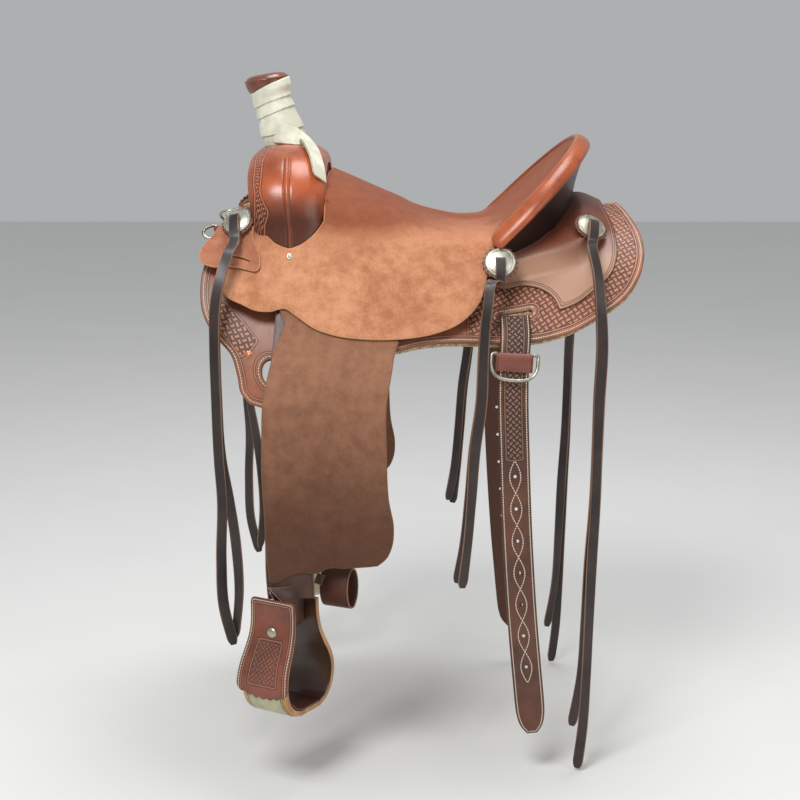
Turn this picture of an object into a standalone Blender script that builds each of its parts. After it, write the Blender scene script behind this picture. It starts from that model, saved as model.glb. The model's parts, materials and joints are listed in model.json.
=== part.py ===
"""An all-around western saddle, built piece by piece the way a saddle maker joins it.

Metres, +Z up, front of the saddle towards -X, its left (near) side towards -Y. The origin lies on
the middle plane where the ridge of a horse's back or of a saddle rack would be.

Leather is cut flat and laid on a surface. Every surface here is a function of two flat coordinates
that gives points of the positive-Y side; a piece for the left side has its Y turned round.
"""
import math

import bpy
import bmesh
import numpy as np
from mathutils import Matrix, Vector
from mathutils.geometry import delaunay_2d_cdt

MM = 0.001
SIDES = {"left": -1, "right": 1}
GAP = 0.6 * MM                # free space between one leather layer and the next

# The horse-shaped surface that the outer face of the skirts follows: along X the height of the
# ridge, the slope in degrees where the rounded crown ends, and the radius of the side below it.
RIDGE_HEIGHT = [(-0.30, 0.112), (-0.15, 0.062), (0, 0.026), (0.12, 0.0205), (0.24, 0.044),
                (0.30, 0.0585), (0.37, 0.064)]
CROWN_SLOPE = [(-0.30, 31), (-0.15, 22), (0, 12), (0.15, 10), (0.37, 12)]
SIDE_RADIUS = [(-0.30, 0.425), (-0.15, 0.395), (0, 0.353), (0.10, 0.343), (0.20, 0.32), (0.30, 0.297),
               (0.37, 0.29)]
CROWN_RADIUS = 0.060

SKIRT_LEATHER = 4.5 * MM
FLEECE = 13 * MM
PLATE_LEATHER = 3.5 * MM
JOCKEY_LEATHER = 3.5 * MM
SEAT_LEATHER = 4.5 * MM
FENDER_LEATHER = 3.5 * MM
STRAP_LEATHER = 3.5 * MM
COVER_LEATHER = 3.0 * MM

# Bars of the tree, lying on the skirts under the seat.
BAR_SEAT = 1.0 * MM
BAR_THICKNESS = 21 * MM
BAR_EDGE = 2.0 * MM
BAR_TOP = [(-0.225, 0.078), (-0.20, 0.055), (-0.12, 0.040), (0, 0.036), (0.15, 0.034), (0.26, 0.042),
           (0.300, 0.075)]
BAR_FOOT = [(-0.225, 0.160), (-0.20, 0.185), (-0.12, 0.180), (-0.03, 0.155), (0.08, 0.150),
            (0.18, 0.163), (0.26, 0.158), (0.300, 0.115)]
BAR_BEVEL = 0.030

# The flat flap that the seat's side jockeys hang in: its slope, its distance from the origin and
# where along it the seat's shoulder lies. In front the flap turns in towards the horse.
FLAP_SLOPE = [(-0.30, 48), (-0.250, 48), (-0.180, 62), (0.15, 62)]
FLAP_DISTANCE = [(-0.30, 0.120), (-0.250, 0.120), (-0.180, 0.1635), (0.15, 0.1635)]
SHOULDER = [(-0.30, 0.043), (-0.245, 0.043), (-0.20, 0.010), (-0.11, 0.019), (-0.05, 0.040), (0, 0.058),
            (0.06, 0.072), (0.11, 0.078), (0.125, 0.073), (0.142, 0.050)]
SEAT_LINE = [(-0.12, 0.120), (-0.108, 0.116), (-0.086, 0.107), (-0.0455, 0.089), (-0.023, 0.079),
             (0, 0.069), (0.0224, 0.057), (0.062, 0.0455),
             (0.093, 0.0405), (0.122, 0.0415), (0.142, 0.047), (0.18, 0.068), (0.215, 0.096),
             (0.245, 0.129), (0.268, 0.1616)]
SEAT_HALF = 0.200             # flat width given to half of the seat between middle and shoulder

# Rim of the cantle: half an ellipse that rises from the bars to the top of the cantle.
RIM_X = 0.142
RIM_DEPTH = 0.126
RIM_WIDTH = 0.1679
RIM_FOOT = 0.0326
RIM_RISE = 0.129
ROLL_FOOT = (0.152, 0.190, 0.016)      # X, Y and Z of the roll's outer edge at its end
ROLL_TOP = (0.2895, 0.0, 0.1495)       # and at the middle of the cantle
ROLL_THICKNESS = 13 * MM

# Fender and stirrup leather hang in a plane parallel to the flap, then straight down.
HANG_DISTANCE = 0.1500
HANG_BEND = 0.260
HANG_RADIUS = 0.120
HANG_SLOPE = math.radians(88)
PIVOT_X = -0.145
PIVOT_DROP = 0.125
STRAP_WIDTH = 0.070

# Stirrup, turned outwards at the bottom of its leather.
STIRRUP_CENTRE = (-0.163, 0.2790)
STIRRUP_TURN = math.radians(31)
BOLT_HEIGHT = -0.5200
BOLT_RADIUS = 4.5 * MM
ROLLER_RADIUS = 9.0 * MM
STIRRUP_WALL = 8.5 * MM

CONCHO_RADIUS = 22 * MM
CONCHO_HEIGHT = 5.0 * MM
ROSETTE_RADIUS = 26.5 * MM
ROSETTE_LEATHER = 3.0 * MM
STRING_WIDTH = 14 * MM
STRING_LEATHER = 3.0 * MM

HORN_BASE = (-0.1715, 0, 0.140)
HORN_LEAN = math.radians(16.5)
HORN_NECK = 20 * MM
HORN_HEIGHT = 0.112
HORN_CAP_RADIUS = 30 * MM
HORN_CAP_THICKNESS = 10 * MM

BILLET_WIDTH = 0.044
BILLET_LEATHER = 5.0 * MM
BILLET_TOP = (0.1655, 0.2091, -0.0830)
BILLET_TIP = (0.1975, -0.7070)
BILLET_PIVOT = (0.1655, 0.2100, -0.0830)     # the fold that the billet swings on
HOLE_RADIUS = 2.4 * MM
HOLE_PITCH = 0.0508


# Materials

def material(name, colour, roughness, metallic=0.0):
    found = bpy.data.materials.get(name)
    if found:
        return found
    made = bpy.data.materials.new(name)
    made.use_nodes = True
    shader = made.node_tree.nodes["Principled BSDF"]
    shader.inputs["Base Color"].default_value = (*colour, 1)
    shader.inputs["Roughness"].default_value = roughness
    shader.inputs["Metallic"].default_value = metallic
    made.diffuse_color = (*colour, 1)
    return made


LOOKS = {
    "rough_leather": ((0.45, 0.20, 0.09), 0.85, 0.0),
    "fender_leather": ((0.16, 0.08, 0.045), 0.85, 0.0),
    "skirt_leather": ((0.24, 0.09, 0.045), 0.45, 0.0),
    "polished_leather": ((0.30, 0.08, 0.025), 0.25, 0.0),
    "dark_leather": ((0.06, 0.022, 0.012), 0.40, 0.0),
    "string_leather": ((0.035, 0.018, 0.014), 0.50, 0.0),
    "mulehide": ((0.75, 0.73, 0.60), 0.80, 0.0),
    "fleece": ((0.62, 0.50, 0.34), 0.95, 0.0),
    "wood": ((0.50, 0.30, 0.12), 0.55, 0.0),
    "silver": ((0.72, 0.72, 0.66), 0.25, 1.0),
    "steel": ((0.55, 0.52, 0.42), 0.35, 1.0),
}


# Curves and surfaces

def along(x, stations):
    """Smooth value at x through (x, value) stations, with no overshoot between them."""
    knots, values = np.array(stations, float).T
    gaps = np.diff(knots)
    rises = np.diff(values) / gaps
    same = rises[:-1] * rises[1:] > 0
    mean = 2 * rises[:-1] * rises[1:] / np.where(same, rises[:-1] + rises[1:], 1)
    slopes = np.concatenate(([rises[0]], np.where(same, mean, 0), [rises[-1]]))
    x = np.clip(np.asarray(x, float), knots[0], knots[-1])
    i = np.clip(np.searchsorted(knots, x, side="right") - 1, 0, len(gaps) - 1)
    t = (x - knots[i]) / gaps[i]
    start = (1 + 2 * t) * (1 - t) ** 2 * values[i] + t * (1 - t) ** 2 * gaps[i] * slopes[i]
    end = t * t * (3 - 2 * t) * values[i + 1] + t * t * (t - 1) * gaps[i] * slopes[i + 1]
    return start + end


def smooth_step(x):
    x = np.clip(x, 0, 1)
    return x * x * (3 - 2 * x)


def smooth_run(points, step):
    """Points about step apart on a smooth curve through the given ones; two give a straight."""
    points = np.array(points, float)
    spans = np.linalg.norm(np.diff(points, axis=0), axis=1)
    length = np.concatenate(([0], np.cumsum(spans)))
    slopes = np.gradient(points, length, axis=0)
    count = max(1, round(length[-1] / step))
    at = np.linspace(0, length[-1], count + 1)
    i = np.clip(np.searchsorted(length, at, side="right") - 1, 0, len(spans) - 1)
    t = ((at - length[i]) / spans[i])[:, None]
    gap = spans[i][:, None]
    start = (1 + 2 * t) * (1 - t) ** 2 * points[i] + t * (1 - t) ** 2 * gap * slopes[i]
    end = t * t * (3 - 2 * t) * points[i + 1] + t * t * (t - 1) * gap * slopes[i + 1]
    return start + end


def outline(runs, step):
    """Closed flat outline: smooth runs joined at corners, each starting where the last one ended."""
    return np.concatenate([smooth_run(run, step)[:-1] for run in runs])


def side_arc(x):
    slope = np.radians(along(x, CROWN_SLOPE))
    radius = along(x, SIDE_RADIUS)
    ridge = along(x, RIDGE_HEIGHT)
    return slope, radius, ridge


def on_back(x, s, lift):
    """The skirts' outer face, lift proud of it: x along the saddle, s outwards over the curve."""
    slope, radius, ridge = side_arc(x)
    crown = CROWN_RADIUS * slope
    top = s < crown
    angle = np.where(top, s / CROWN_RADIUS, slope + (s - crown) / radius)
    reach = np.where(top, CROWN_RADIUS, radius)
    centre_y = (CROWN_RADIUS - reach) * np.sin(slope)
    centre_z = ridge - CROWN_RADIUS + (CROWN_RADIUS - reach) * np.cos(slope)
    return np.stack([x + 0 * s, centre_y + (reach + lift) * np.sin(angle),
                    centre_z + (reach + lift) * np.cos(angle)], -1)


def back_height(x, y, lift):
    """Height of the same surface above a point of the plan."""
    slope, radius, ridge = side_arc(x)
    centre_y = (CROWN_RADIUS - radius) * np.sin(slope)
    centre_z = ridge - CROWN_RADIUS + (CROWN_RADIUS - radius) * np.cos(slope)
    return centre_z + np.sqrt((radius + lift) ** 2 - (np.abs(y) - centre_y) ** 2)


def shelf_rise(x, s, spread=0.0):
    """From 0 beyond the bar's lower edge and ends, moved outwards by spread, to 1 up to the ridge."""
    outer = (along(x, BAR_FOOT) - s + spread) / BAR_BEVEL
    front = (x + 0.230 + spread) / 0.050
    rear = (0.305 - x + spread) / 0.055
    return smooth_step(outer) * smooth_step(front) * smooth_step(rear)


def bar_rise(x, s):
    """The same with the bar's upper edge rounded too."""
    return smooth_step((s - along(x, BAR_TOP)) / BAR_BEVEL) * shelf_rise(x, s)


def on_flap(x, v, lift):
    """The seat's flap: v down its slope from the foot of the perpendicular from the origin."""
    slope = np.radians(along(x, FLAP_SLOPE))
    distance = along(x, FLAP_DISTANCE) + lift
    y = distance * np.sin(slope) + v * np.cos(slope)
    z = distance * np.cos(slope) - v * np.sin(slope)
    return np.stack([x + 0 * v, y, z], -1)


def on_seat(x, w):
    """Top of the seat leather: w across, up to SEAT_HALF to the shoulder or rim, then down the flap."""
    x = np.asarray(x, float)
    past = np.clip((x - RIM_X) / RIM_DEPTH, 0, 1)
    narrow = np.sqrt(1 - past ** 2)
    shoulder = on_flap(np.minimum(x, RIM_X), along(np.minimum(x, RIM_X), SHOULDER), 0.0)
    edge_y = np.where(past > 0, RIM_WIDTH * narrow, shoulder[..., 1])
    edge_z = np.where(past > 0, RIM_FOOT + RIM_RISE * past, shoulder[..., 2])
    middle = along(x, SEAT_LINE)
    slope = np.radians(along(x, FLAP_SLOPE))
    bench = np.clip(1 - (middle - edge_z) / np.tan(slope) / np.maximum(edge_y, MM), 0.3, 1)
    dish = along(x, [(RIM_X, 0.93), (0.18, 0.75), (0.26, 0.60)])
    turn = smooth_step((x - 0.11) / 0.035)
    bulge = bench * (1 - turn) + dish * turn
    across = np.abs(w) / SEAT_HALF / np.maximum(narrow, 0.02)
    u = np.clip(across, 0, 1)
    y = 2 * u * (1 - u) * bulge * edge_y + u * u * edge_y
    z = middle * (1 - u * u) + u * u * edge_z
    below = np.where(past > 0, 0, np.clip(np.abs(w) - SEAT_HALF, 0, None))
    return np.stack([x, np.sign(w) * (y + below * np.cos(slope)), z - below * np.sin(slope)], -1)


def on_hang(x, q, lift):
    """The plane that the fender hangs in: q down it, with a bend to nearly upright at HANG_BEND."""
    slope = math.radians(FLAP_SLOPE[-1][1])
    q = np.asarray(q, float)
    arc = HANG_RADIUS * (HANG_SLOPE - slope)
    flat = np.minimum(q, HANG_BEND)
    bent = np.clip(q - HANG_BEND, 0, arc)
    free = np.clip(q - HANG_BEND - arc, 0, None)
    turn = slope + bent / HANG_RADIUS
    y = HANG_DISTANCE * math.sin(slope) + flat * math.cos(slope) + free * math.cos(HANG_SLOPE)
    y = y + HANG_RADIUS * (np.sin(turn) - math.sin(slope)) + lift * np.sin(turn)
    z = HANG_DISTANCE * math.cos(slope) - flat * math.sin(slope) - free * math.sin(HANG_SLOPE)
    z = z - HANG_RADIUS * (math.cos(slope) - np.cos(turn)) + lift * np.cos(turn)
    return np.stack([x + 0 * q, y, z], -1)


def frame_on(place, a, b):
    """Point of a surface with its outward normal and the direction that runs down it."""
    d = 0.5 * MM
    here = place(np.array([a]), np.array([b]))[0]
    ahead = place(np.array([a + d]), np.array([b]))[0] - here
    down = place(np.array([a]), np.array([b + d]))[0] - here
    normal = np.cross(ahead, down)
    normal = normal / np.linalg.norm(normal)
    if normal[1] < 0:
        normal = -normal
    return here, normal, down / np.linalg.norm(down)


# Making objects

def new_object(name, vertices, faces, look):
    mesh = bpy.data.meshes.new(name)
    mesh.from_pydata([tuple(map(float, v)) for v in vertices], [], [tuple(map(int, f)) for f in faces])
    mesh.materials.append(material(look, *LOOKS[look]))
    obj = bpy.data.objects.new(name, mesh)
    parts.objects.link(obj)
    return obj


def close_up(obj, angle=40):
    """Merges doubles, turns the faces outwards and shades the piece smooth with sharp edges kept."""
    form = bmesh.new()
    form.from_mesh(obj.data)
    bmesh.ops.remove_doubles(form, verts=form.verts, dist=0.01 * MM)
    bmesh.ops.recalc_face_normals(form, faces=form.faces)
    form.to_mesh(obj.data)
    form.free()
    obj.data.shade_smooth()
    obj.data.set_sharp_from_angle(angle=math.radians(angle))
    return obj


def inside(points, loop):
    """Which flat points lie inside a closed loop."""
    a = loop
    b = np.roll(loop, -1, axis=0)
    px, py = points[:, :1], points[:, 1:]
    over = (a[:, 1] > py) != (b[:, 1] > py)
    rise = np.where(b[:, 1] == a[:, 1], 1, b[:, 1] - a[:, 1])
    crossing = (b[:, 0] - a[:, 0]) * (py - a[:, 1]) / rise + a[:, 0]
    return (np.count_nonzero(over & (px < crossing), axis=1) % 2).astype(bool)


def fill(loop, holes, grid, fine=-1.0):
    """Triangles inside a loop and outside its holes, points grid apart, closer in front of fine."""
    rings = [loop, *holes]
    low, high = loop.min(0), loop.max(0)
    xs = np.arange(math.ceil(low[0] / grid[0] * 2), high[0] / grid[0] * 2) * grid[0] / 2
    odd = np.abs(xs / grid[0] - np.round(xs / grid[0])) > 0.25
    xs = xs[~odd | (xs < fine)]
    ys = np.arange(math.ceil(low[1] / grid[1]), high[1] / grid[1]) * grid[1]
    lattice = np.stack(np.meshgrid(xs, ys), -1).reshape(-1, 2)
    rim = np.concatenate(rings)
    keep = inside(lattice, loop)
    for hole in holes:
        keep &= ~inside(lattice, hole)
    near = np.linalg.norm(lattice[:, None] - rim[None], axis=2).min(1)
    lattice = lattice[keep & (near > 0.3 * min(grid))]
    edges = []
    start = 0
    for ring in rings:
        count = len(ring)
        edges += [(start + i, start + (i + 1) % count) for i in range(count)]
        start += count
    points = [Vector(p) for p in np.concatenate([rim, lattice])]
    flat, _, triangles, *_ = delaunay_2d_cdt(points, edges, [], 0, 1e-7)
    flat = np.array([tuple(p) for p in flat])
    triangles = np.array([list(t) for t in triangles])
    centre = flat[triangles].mean(1)
    keep = inside(centre, loop)
    for hole in holes:
        keep &= ~inside(centre, hole)
    return flat, triangles[keep]


def sheet(name, flat, place, side, thickness, look):
    """Leather laid with its underside on a surface, thickness outwards."""
    points, triangles = flat
    vertices = place(points[:, 0], points[:, 1])
    vertices[:, 1] *= side
    obj = new_object(name, vertices, triangles, look)
    form = bmesh.new()
    form.from_mesh(obj.data)
    bmesh.ops.recalc_face_normals(form, faces=form.faces)
    centres = [f.calc_center_median() for f in form.faces]
    away = sum(f.normal.dot(c - Vector((c.x, 0, -0.4))) for f, c in zip(form.faces, centres))
    if away < 0:
        bmesh.ops.reverse_faces(form, faces=form.faces)
    form.to_mesh(obj.data)
    form.free()
    wall = obj.modifiers.new("thickness", "SOLIDIFY")
    wall.thickness = thickness
    wall.offset = 1
    wall.use_quality_normals = True
    return obj


def slab(name, flat, low, high, side, look):
    """Closed body between two surfaces over the same flat outline."""
    points, triangles = flat
    count = len(points)
    vertices = np.concatenate([low(points[:, 0], points[:, 1]), high(points[:, 0], points[:, 1])])
    vertices[:, 1] *= side
    edges = {}
    for t in triangles:
        for a, b in ((t[0], t[1]), (t[1], t[2]), (t[2], t[0])):
            edges[(a, b)] = edges.get((a, b), 0) + 1
    rim = [e for e in edges if (e[1], e[0]) not in edges]
    faces = [tuple(t[::-1]) for t in triangles] + [tuple(t + count) for t in triangles]
    faces += [(a, b, b + count, a + count) for a, b in rim]
    return close_up(new_object(name, vertices, faces, look))


def loft(name, rings, look, side=1, closed=False):
    """Closed body through a row of rings of equal count; closed joins the last ring to the first."""
    rings = np.array(rings, float)
    rings[..., 1] *= side
    rows, count = rings.shape[:2]
    faces = []
    for i in range(rows if closed else rows - 1):
        j = (i + 1) % rows
        for k in range(count):
            m = (k + 1) % count
            faces.append((i * count + k, i * count + m, j * count + m, j * count + k))
    if not closed:
        faces.append(tuple(range(count)))
        faces.append(tuple((rows - 1) * count + k for k in range(count)))
    return close_up(new_object(name, rings.reshape(-1, 3), faces, look))


def strip_rings(path, across, width, thickness):
    """Rectangular sections along a path; across gives each section's width direction."""
    path = np.array(path, float)
    tangent = np.gradient(path, axis=0)
    tangent /= np.linalg.norm(tangent, axis=1)[:, None]
    across = np.broadcast_to(np.array(across, float), path.shape)
    across = across - (across * tangent).sum(1)[:, None] * tangent
    across /= np.linalg.norm(across, axis=1)[:, None]
    proud = np.cross(tangent, across)
    half = np.broadcast_to(np.asarray(width, float) / 2, len(path))[:, None] * across
    thick = proud * thickness / 2
    return np.stack([path + half + thick, path - half + thick, path - half - thick, path + half - thick], 1)


def revolve(name, profile, place, steps, look):
    """Turned piece: a closed profile of (radius, height) about an axis set by a matrix."""
    mesh = bpy.data.meshes.new(name)
    count = len(profile)
    vertices = [(r, 0, h) for r, h in profile]
    mesh.from_pydata(vertices, [(i, (i + 1) % count) for i in range(count)], [])
    mesh.materials.append(material(look, *LOOKS[look]))
    obj = bpy.data.objects.new(name, mesh)
    parts.objects.link(obj)
    turn = obj.modifiers.new("turn", "SCREW")
    turn.steps = steps
    turn.render_steps = steps
    turn.use_merge_vertices = True
    turn.merge_threshold = 0.01 * MM
    turn.use_normal_calculate = True
    obj.matrix_world = place
    return obj


def baked(obj, angle=40):
    """The object with its modifiers and its place applied to a clean mesh."""
    bpy.context.view_layer.update()
    seen = obj.evaluated_get(bpy.context.evaluated_depsgraph_get())
    mesh = bpy.data.meshes.new_from_object(seen)
    mesh.transform(obj.matrix_world)
    name = obj.name
    home = obj.users_collection[0]
    bpy.data.objects.remove(obj)
    made = bpy.data.objects.new(name, mesh)
    home.objects.link(made)
    return close_up(made, angle)


def combine(obj, other, kind):
    """Boolean between two pieces; the second is a guide and isn't part of the saddle."""
    for home in list(other.users_collection):
        home.objects.unlink(other)
    cutters.objects.link(other)
    other.hide_render = True
    other.display_type = "WIRE"
    cut = obj.modifiers.new(kind.lower(), "BOOLEAN")
    cut.operation = kind
    cut.solver = "EXACT"
    cut.object = other
    return obj


def axis_frame(origin, z_axis, x_axis):
    """Matrix with its Z along z_axis and its X towards x_axis."""
    z = Vector(z_axis).normalized()
    y = z.cross(Vector(x_axis)).normalized()
    x = y.cross(z)
    return Matrix.Translation(origin) @ Matrix((x, y, z)).transposed().to_4x4()


# The tree

def bar(name, side):
    loop = outline([BAR_TOP, [BAR_TOP[-1], BAR_FOOT[-1]], BAR_FOOT[::-1], [BAR_FOOT[0], BAR_TOP[0]]], 0.030)
    flat = fill(loop, [], (0.035, 0.025))

    def top(x, s):
        return on_back(x, s, BAR_SEAT + BAR_EDGE + (BAR_THICKNESS - BAR_EDGE) * bar_rise(x, s))
    slab(name, flat, lambda x, s: on_back(x, s, BAR_SEAT), top, side, "wood")


FORK_PATH = [  # share of the way, Y, Z, half length along X, half thickness
    (0.00, 0.000, 0.1280, 0.054, 0.024), (0.30, 0.055, 0.1255, 0.055, 0.024),
     (0.50, 0.100, 0.1120, 0.0555, 0.025),
    (0.68, 0.131, 0.0850, 0.0525, 0.0255), (0.82, 0.1425, 0.0580, 0.0430, 0.0235),
     (0.93, 0.1480, 0.0370, 0.0270, 0.020), (1.00, 0.1530, 0.0240, 0.0115, 0.014)]
WOOD_INSET = 2.5 * MM
FORK_X = [(0, -0.1665), (0.5, -0.1675), (0.82, -0.1645), (1.0, -0.1610)]


def fork_section(t, grow, angles):
    """Points of the fork's oval section at share t of the way from crown to foot, on +Y."""
    table = np.array(FORK_PATH)

    def value(column):
        return float(along(abs(t), list(zip(table[:, 0], table[:, column]))))
    step = 0.01
    before, after = max(abs(t) - step, 0), min(abs(t) + step, 1)
    ways = [list(zip(table[:, 0], table[:, column])) for column in (1, 2)]
    dy, dz = [float(along(after, way) - along(before, way)) for way in ways]
    size = math.hypot(dy, dz)
    out_y, out_z = (-dz / size, dy / size) if abs(t) > 0.001 else (0.0, 1.0)
    long = value(3) + grow
    thick = value(4) + grow
    centre_x = float(along(abs(t), FORK_X))
    along_x = centre_x + long * np.sin(angles)
    outwards = thick * np.cos(angles)
    sign = -1 if t < 0 else 1
    return np.stack([along_x, sign * (value(1) + out_y * outwards), value(2) + out_z * outwards], -1)


def tree_fork():
    """Laminated fork: an oval arch with a foot on each bar, and the horn post in one with it."""
    angles = np.linspace(0, 2 * math.pi, 16, endpoint=False)
    half = [fork_section(t, -WOOD_INSET, angles) for t in np.linspace(0, 0.76, 8)]
    foot_x = -0.164 + 0.025 * np.sin(angles)
    foot_y = 0.124 + 0.013 * np.cos(angles)
    top = BAR_SEAT + BAR_THICKNESS + 0.9 * MM
    half.append(np.stack([foot_x, foot_y, back_height(foot_x, foot_y, top)], -1))
    half = np.array(half)
    mirrored = half[:0:-1] * [1, -1, 1]
    fork = loft("tree_fork", np.concatenate([mirrored, half]), "wood")
    tilt = Matrix.Translation(HORN_BASE) @ Matrix.Rotation(-HORN_LEAN, 4, "Y")
    top = HORN_HEIGHT
    profile = [(0, -0.020), (HORN_NECK, -0.020), (HORN_NECK, top - 0.015), (HORN_CAP_RADIUS, top - 0.005),
               (HORN_CAP_RADIUS, top), (HORN_CAP_RADIUS - 4 * MM, top + 4 * MM), (0, top + 5 * MM)]
    post = baked(revolve("horn_post", profile, tilt, 20, "wood"))
    combine(fork, post, "UNION")


def arc_from_y(x, y):
    """Distance over the curve at which the skirts' outer face reaches a half width y."""
    slope, radius, _ = side_arc(x)
    centre_y = (CROWN_RADIUS - radius) * np.sin(slope)
    angle = np.arcsin((y - centre_y) / radius)
    return CROWN_RADIUS * slope + (angle - slope) * radius


def fork_cover():
    """Swell cover: leather round the front, top, back and sides, open towards the gullet."""
    count = 17
    shares = np.concatenate([np.linspace(-1, -0.12, 10), np.linspace(0, 1, 11)])
    wrap = [(0.60, 142), (0.78, 108), (0.90, 86), (1, 80)]
    reach = [math.radians(float(along(abs(t), wrap))) for t in shares]
    rows = np.array([fork_section(t, 0.0, np.linspace(-a, a, count)) for t, a in zip(shares, reach)])
    faces = []
    for i in range(len(shares) - 1):
        for k in range(count - 1):
            faces.append((i * count + k, i * count + k + 1, (i + 1) * count + k + 1, (i + 1) * count + k))
    cover = new_object("fork_cover", rows.reshape(-1, 3), faces, "polished_leather")
    form = bmesh.new()
    form.from_mesh(cover.data)
    bmesh.ops.recalc_face_normals(form, faces=form.faces)
    if sum(f.normal.z * f.calc_area() for f in form.faces if f.calc_center_median().z > 0.12) < 0:
        bmesh.ops.reverse_faces(form, faces=form.faces)
    form.to_mesh(cover.data)
    form.free()
    wall = cover.modifiers.new("thickness", "SOLIDIFY")
    wall.thickness = COVER_LEATHER
    wall.offset = 1
    tilt = Matrix.Translation(HORN_BASE) @ Matrix.Rotation(-HORN_LEAN, 4, "Y")
    radius = HORN_NECK + 0.8 * MM
    hole = baked(revolve("horn_hole", [(0, -0.019), (radius, -0.019), (radius, 0.06),
                                       (0, 0.06)], tilt, 20, "wood"))
    combine(cover, hole, "DIFFERENCE")


def horn_cap_cover():
    """Leather stitched over the horn cap: a domed cup that closes round its rim."""
    tilt = Matrix.Translation(HORN_BASE) @ Matrix.Rotation(-HORN_LEAN, 4, "Y")
    top = HORN_HEIGHT
    inner = HORN_CAP_RADIUS + GAP
    outer = inner + COVER_LEATHER
    profile = [(0, top + 5 * MM + GAP), (inner - 4 * MM, top + 4 * MM + GAP), (inner, top + GAP),
               (inner, top - 6 * MM),
               (outer - 1 * MM, top - 8 * MM), (outer, top - 5 * MM), (outer, top + 2 * MM),
               (outer - 4 * MM, top + 6 * MM),
               (outer - 12 * MM, top + 8.5 * MM), (0, top + 9.5 * MM)]
    baked(revolve("horn_cap_cover", profile[::-1], tilt, 28, "polished_leather"))


WRAP_BANDS = [(0.031, 0.0350, 0.0330), (0.043, 0.0345, 0.0315), (0.055, 0.0330, 0.0300),
              (0.068, 0.0315, 0.0285), (0.081, 0.0295, 0.0265), (0.094, 0.0275, 0.0265)]
WRAP_TAIL = [(0.20, 26), (0.31, 33), (0.40, 39), (0.48, 45), (0.54, 49),
             (0.60, 53)]      # share of the fork's arch and degrees round it


def horn_wrap():
    """Mulehide wound round the horn in overlapping bands, its two-layer tail down behind the fork."""
    tilt = Matrix.Translation(HORN_BASE) @ Matrix.Rotation(-HORN_LEAN, 4, "Y")
    inner = HORN_NECK + GAP
    profile = [(inner, WRAP_BANDS[0][0])]
    for i, (height, low, high) in enumerate(WRAP_BANDS[:-1]):
        profile += [(low, height), (high, WRAP_BANDS[i + 1][0])]
    profile += [(inner, WRAP_BANDS[-1][0])]
    sleeve = baked(revolve("horn_wrap", profile[::-1], tilt, 24, "mulehide"))
    lift = COVER_LEATHER + 4.6 * MM
    path = [np.array([-0.1600, -0.0250, 0.1800]), np.array([-0.1520, -0.0300, 0.1690])]
    proud = [np.array([0.75, -0.6, 0.3]), np.array([0.60, -0.4, 0.7])]
    for t, a in WRAP_TAIL:
        here = fork_section(-t, lift, np.radians([a]))[0]
        above = fork_section(-t, lift + MM, np.radians([a]))[0]
        path.append(here)
        proud.append((above - here) / np.linalg.norm(above - here))
    ahead = np.gradient(np.array(path), axis=0)
    tail = loft("wrap_tail", strip_rings(path, np.cross(ahead, proud), 0.021, 3.6 * MM), "mulehide")
    combine(sleeve, tail, "UNION")


def rim_point(angle):
    """Stitch line of the cantle: angle 0 at its middle, a quarter turn at its end."""
    share = math.cos(angle)
    return np.array([RIM_X + RIM_DEPTH * share, RIM_WIDTH * math.sin(angle), RIM_FOOT + RIM_RISE * share])


def roll_point(angle):
    """Outer edge of the cantle roll."""
    share = math.cos(angle)
    foot, top = np.array(ROLL_FOOT), np.array(ROLL_TOP)
    place = foot + (top - foot) * share
    place[1] = ROLL_FOOT[1] * math.sin(angle)
    return place


def shelf_height(x, s):
    """Height over the skirts of what lies on the bars, a little clear of them."""
    return GAP + (BAR_THICKNESS + 1.2 * MM) * shelf_rise(x, s, 0.016)


def base_point(angle, lift):
    """Foot of the cantle's back, where it meets the bars and the rear jockeys."""
    x = 0.158 + (0.2585 - 0.158) * math.cos(angle) ** 0.8
    y = 0.120 * math.sin(angle)
    s = arc_from_y(x, max(y, 0.014)) if y > 0.014 else y
    return on_back(np.array(x), np.array(s), shelf_height(x, s) + lift)


ROLL_END = math.radians(83)
CANTLE_END = math.radians(68)


def cantle_angles(count):
    return np.linspace(0, ROLL_END, count)


def tree_cantle():
    """Wooden cantle: upright half ring under the back of the seat, standing on the bars."""
    rings = []
    for angle in np.linspace(0, CANTLE_END, 9):
        rim, outer, base = rim_point(angle), roll_point(angle), base_point(angle, 1.6 * MM)
        share = angle / CANTLE_END
        away = np.array([math.cos(angle), math.sin(angle), 0])
        front_top = rim * 0.78 + outer * 0.22 + [0, 0, -0.0180]
        back_top = rim * 0.50 + outer * 0.50 + [0, 0, -0.0165] - 4.5 * MM * away
        back_foot = base - 8.5 * MM * away
        depth = 0.026 - 0.010 * share
        front_foot = back_foot + [-depth * (1 - 0.5 * share), -depth * share * 0.7, 0]
        for foot in (back_foot, front_foot):
            half = max(foot[1], 0.016)
            foot[2] = back_height(foot[0], half, shelf_height(foot[0], arc_from_y(foot[0], half)))
        rings.append([front_top, back_top, back_foot, front_foot])
    rings = np.array(rings)
    mirrored = rings[:0:-1] * [1, -1, 1]
    loft("tree_cantle", np.concatenate([mirrored, rings]), "wood")


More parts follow.
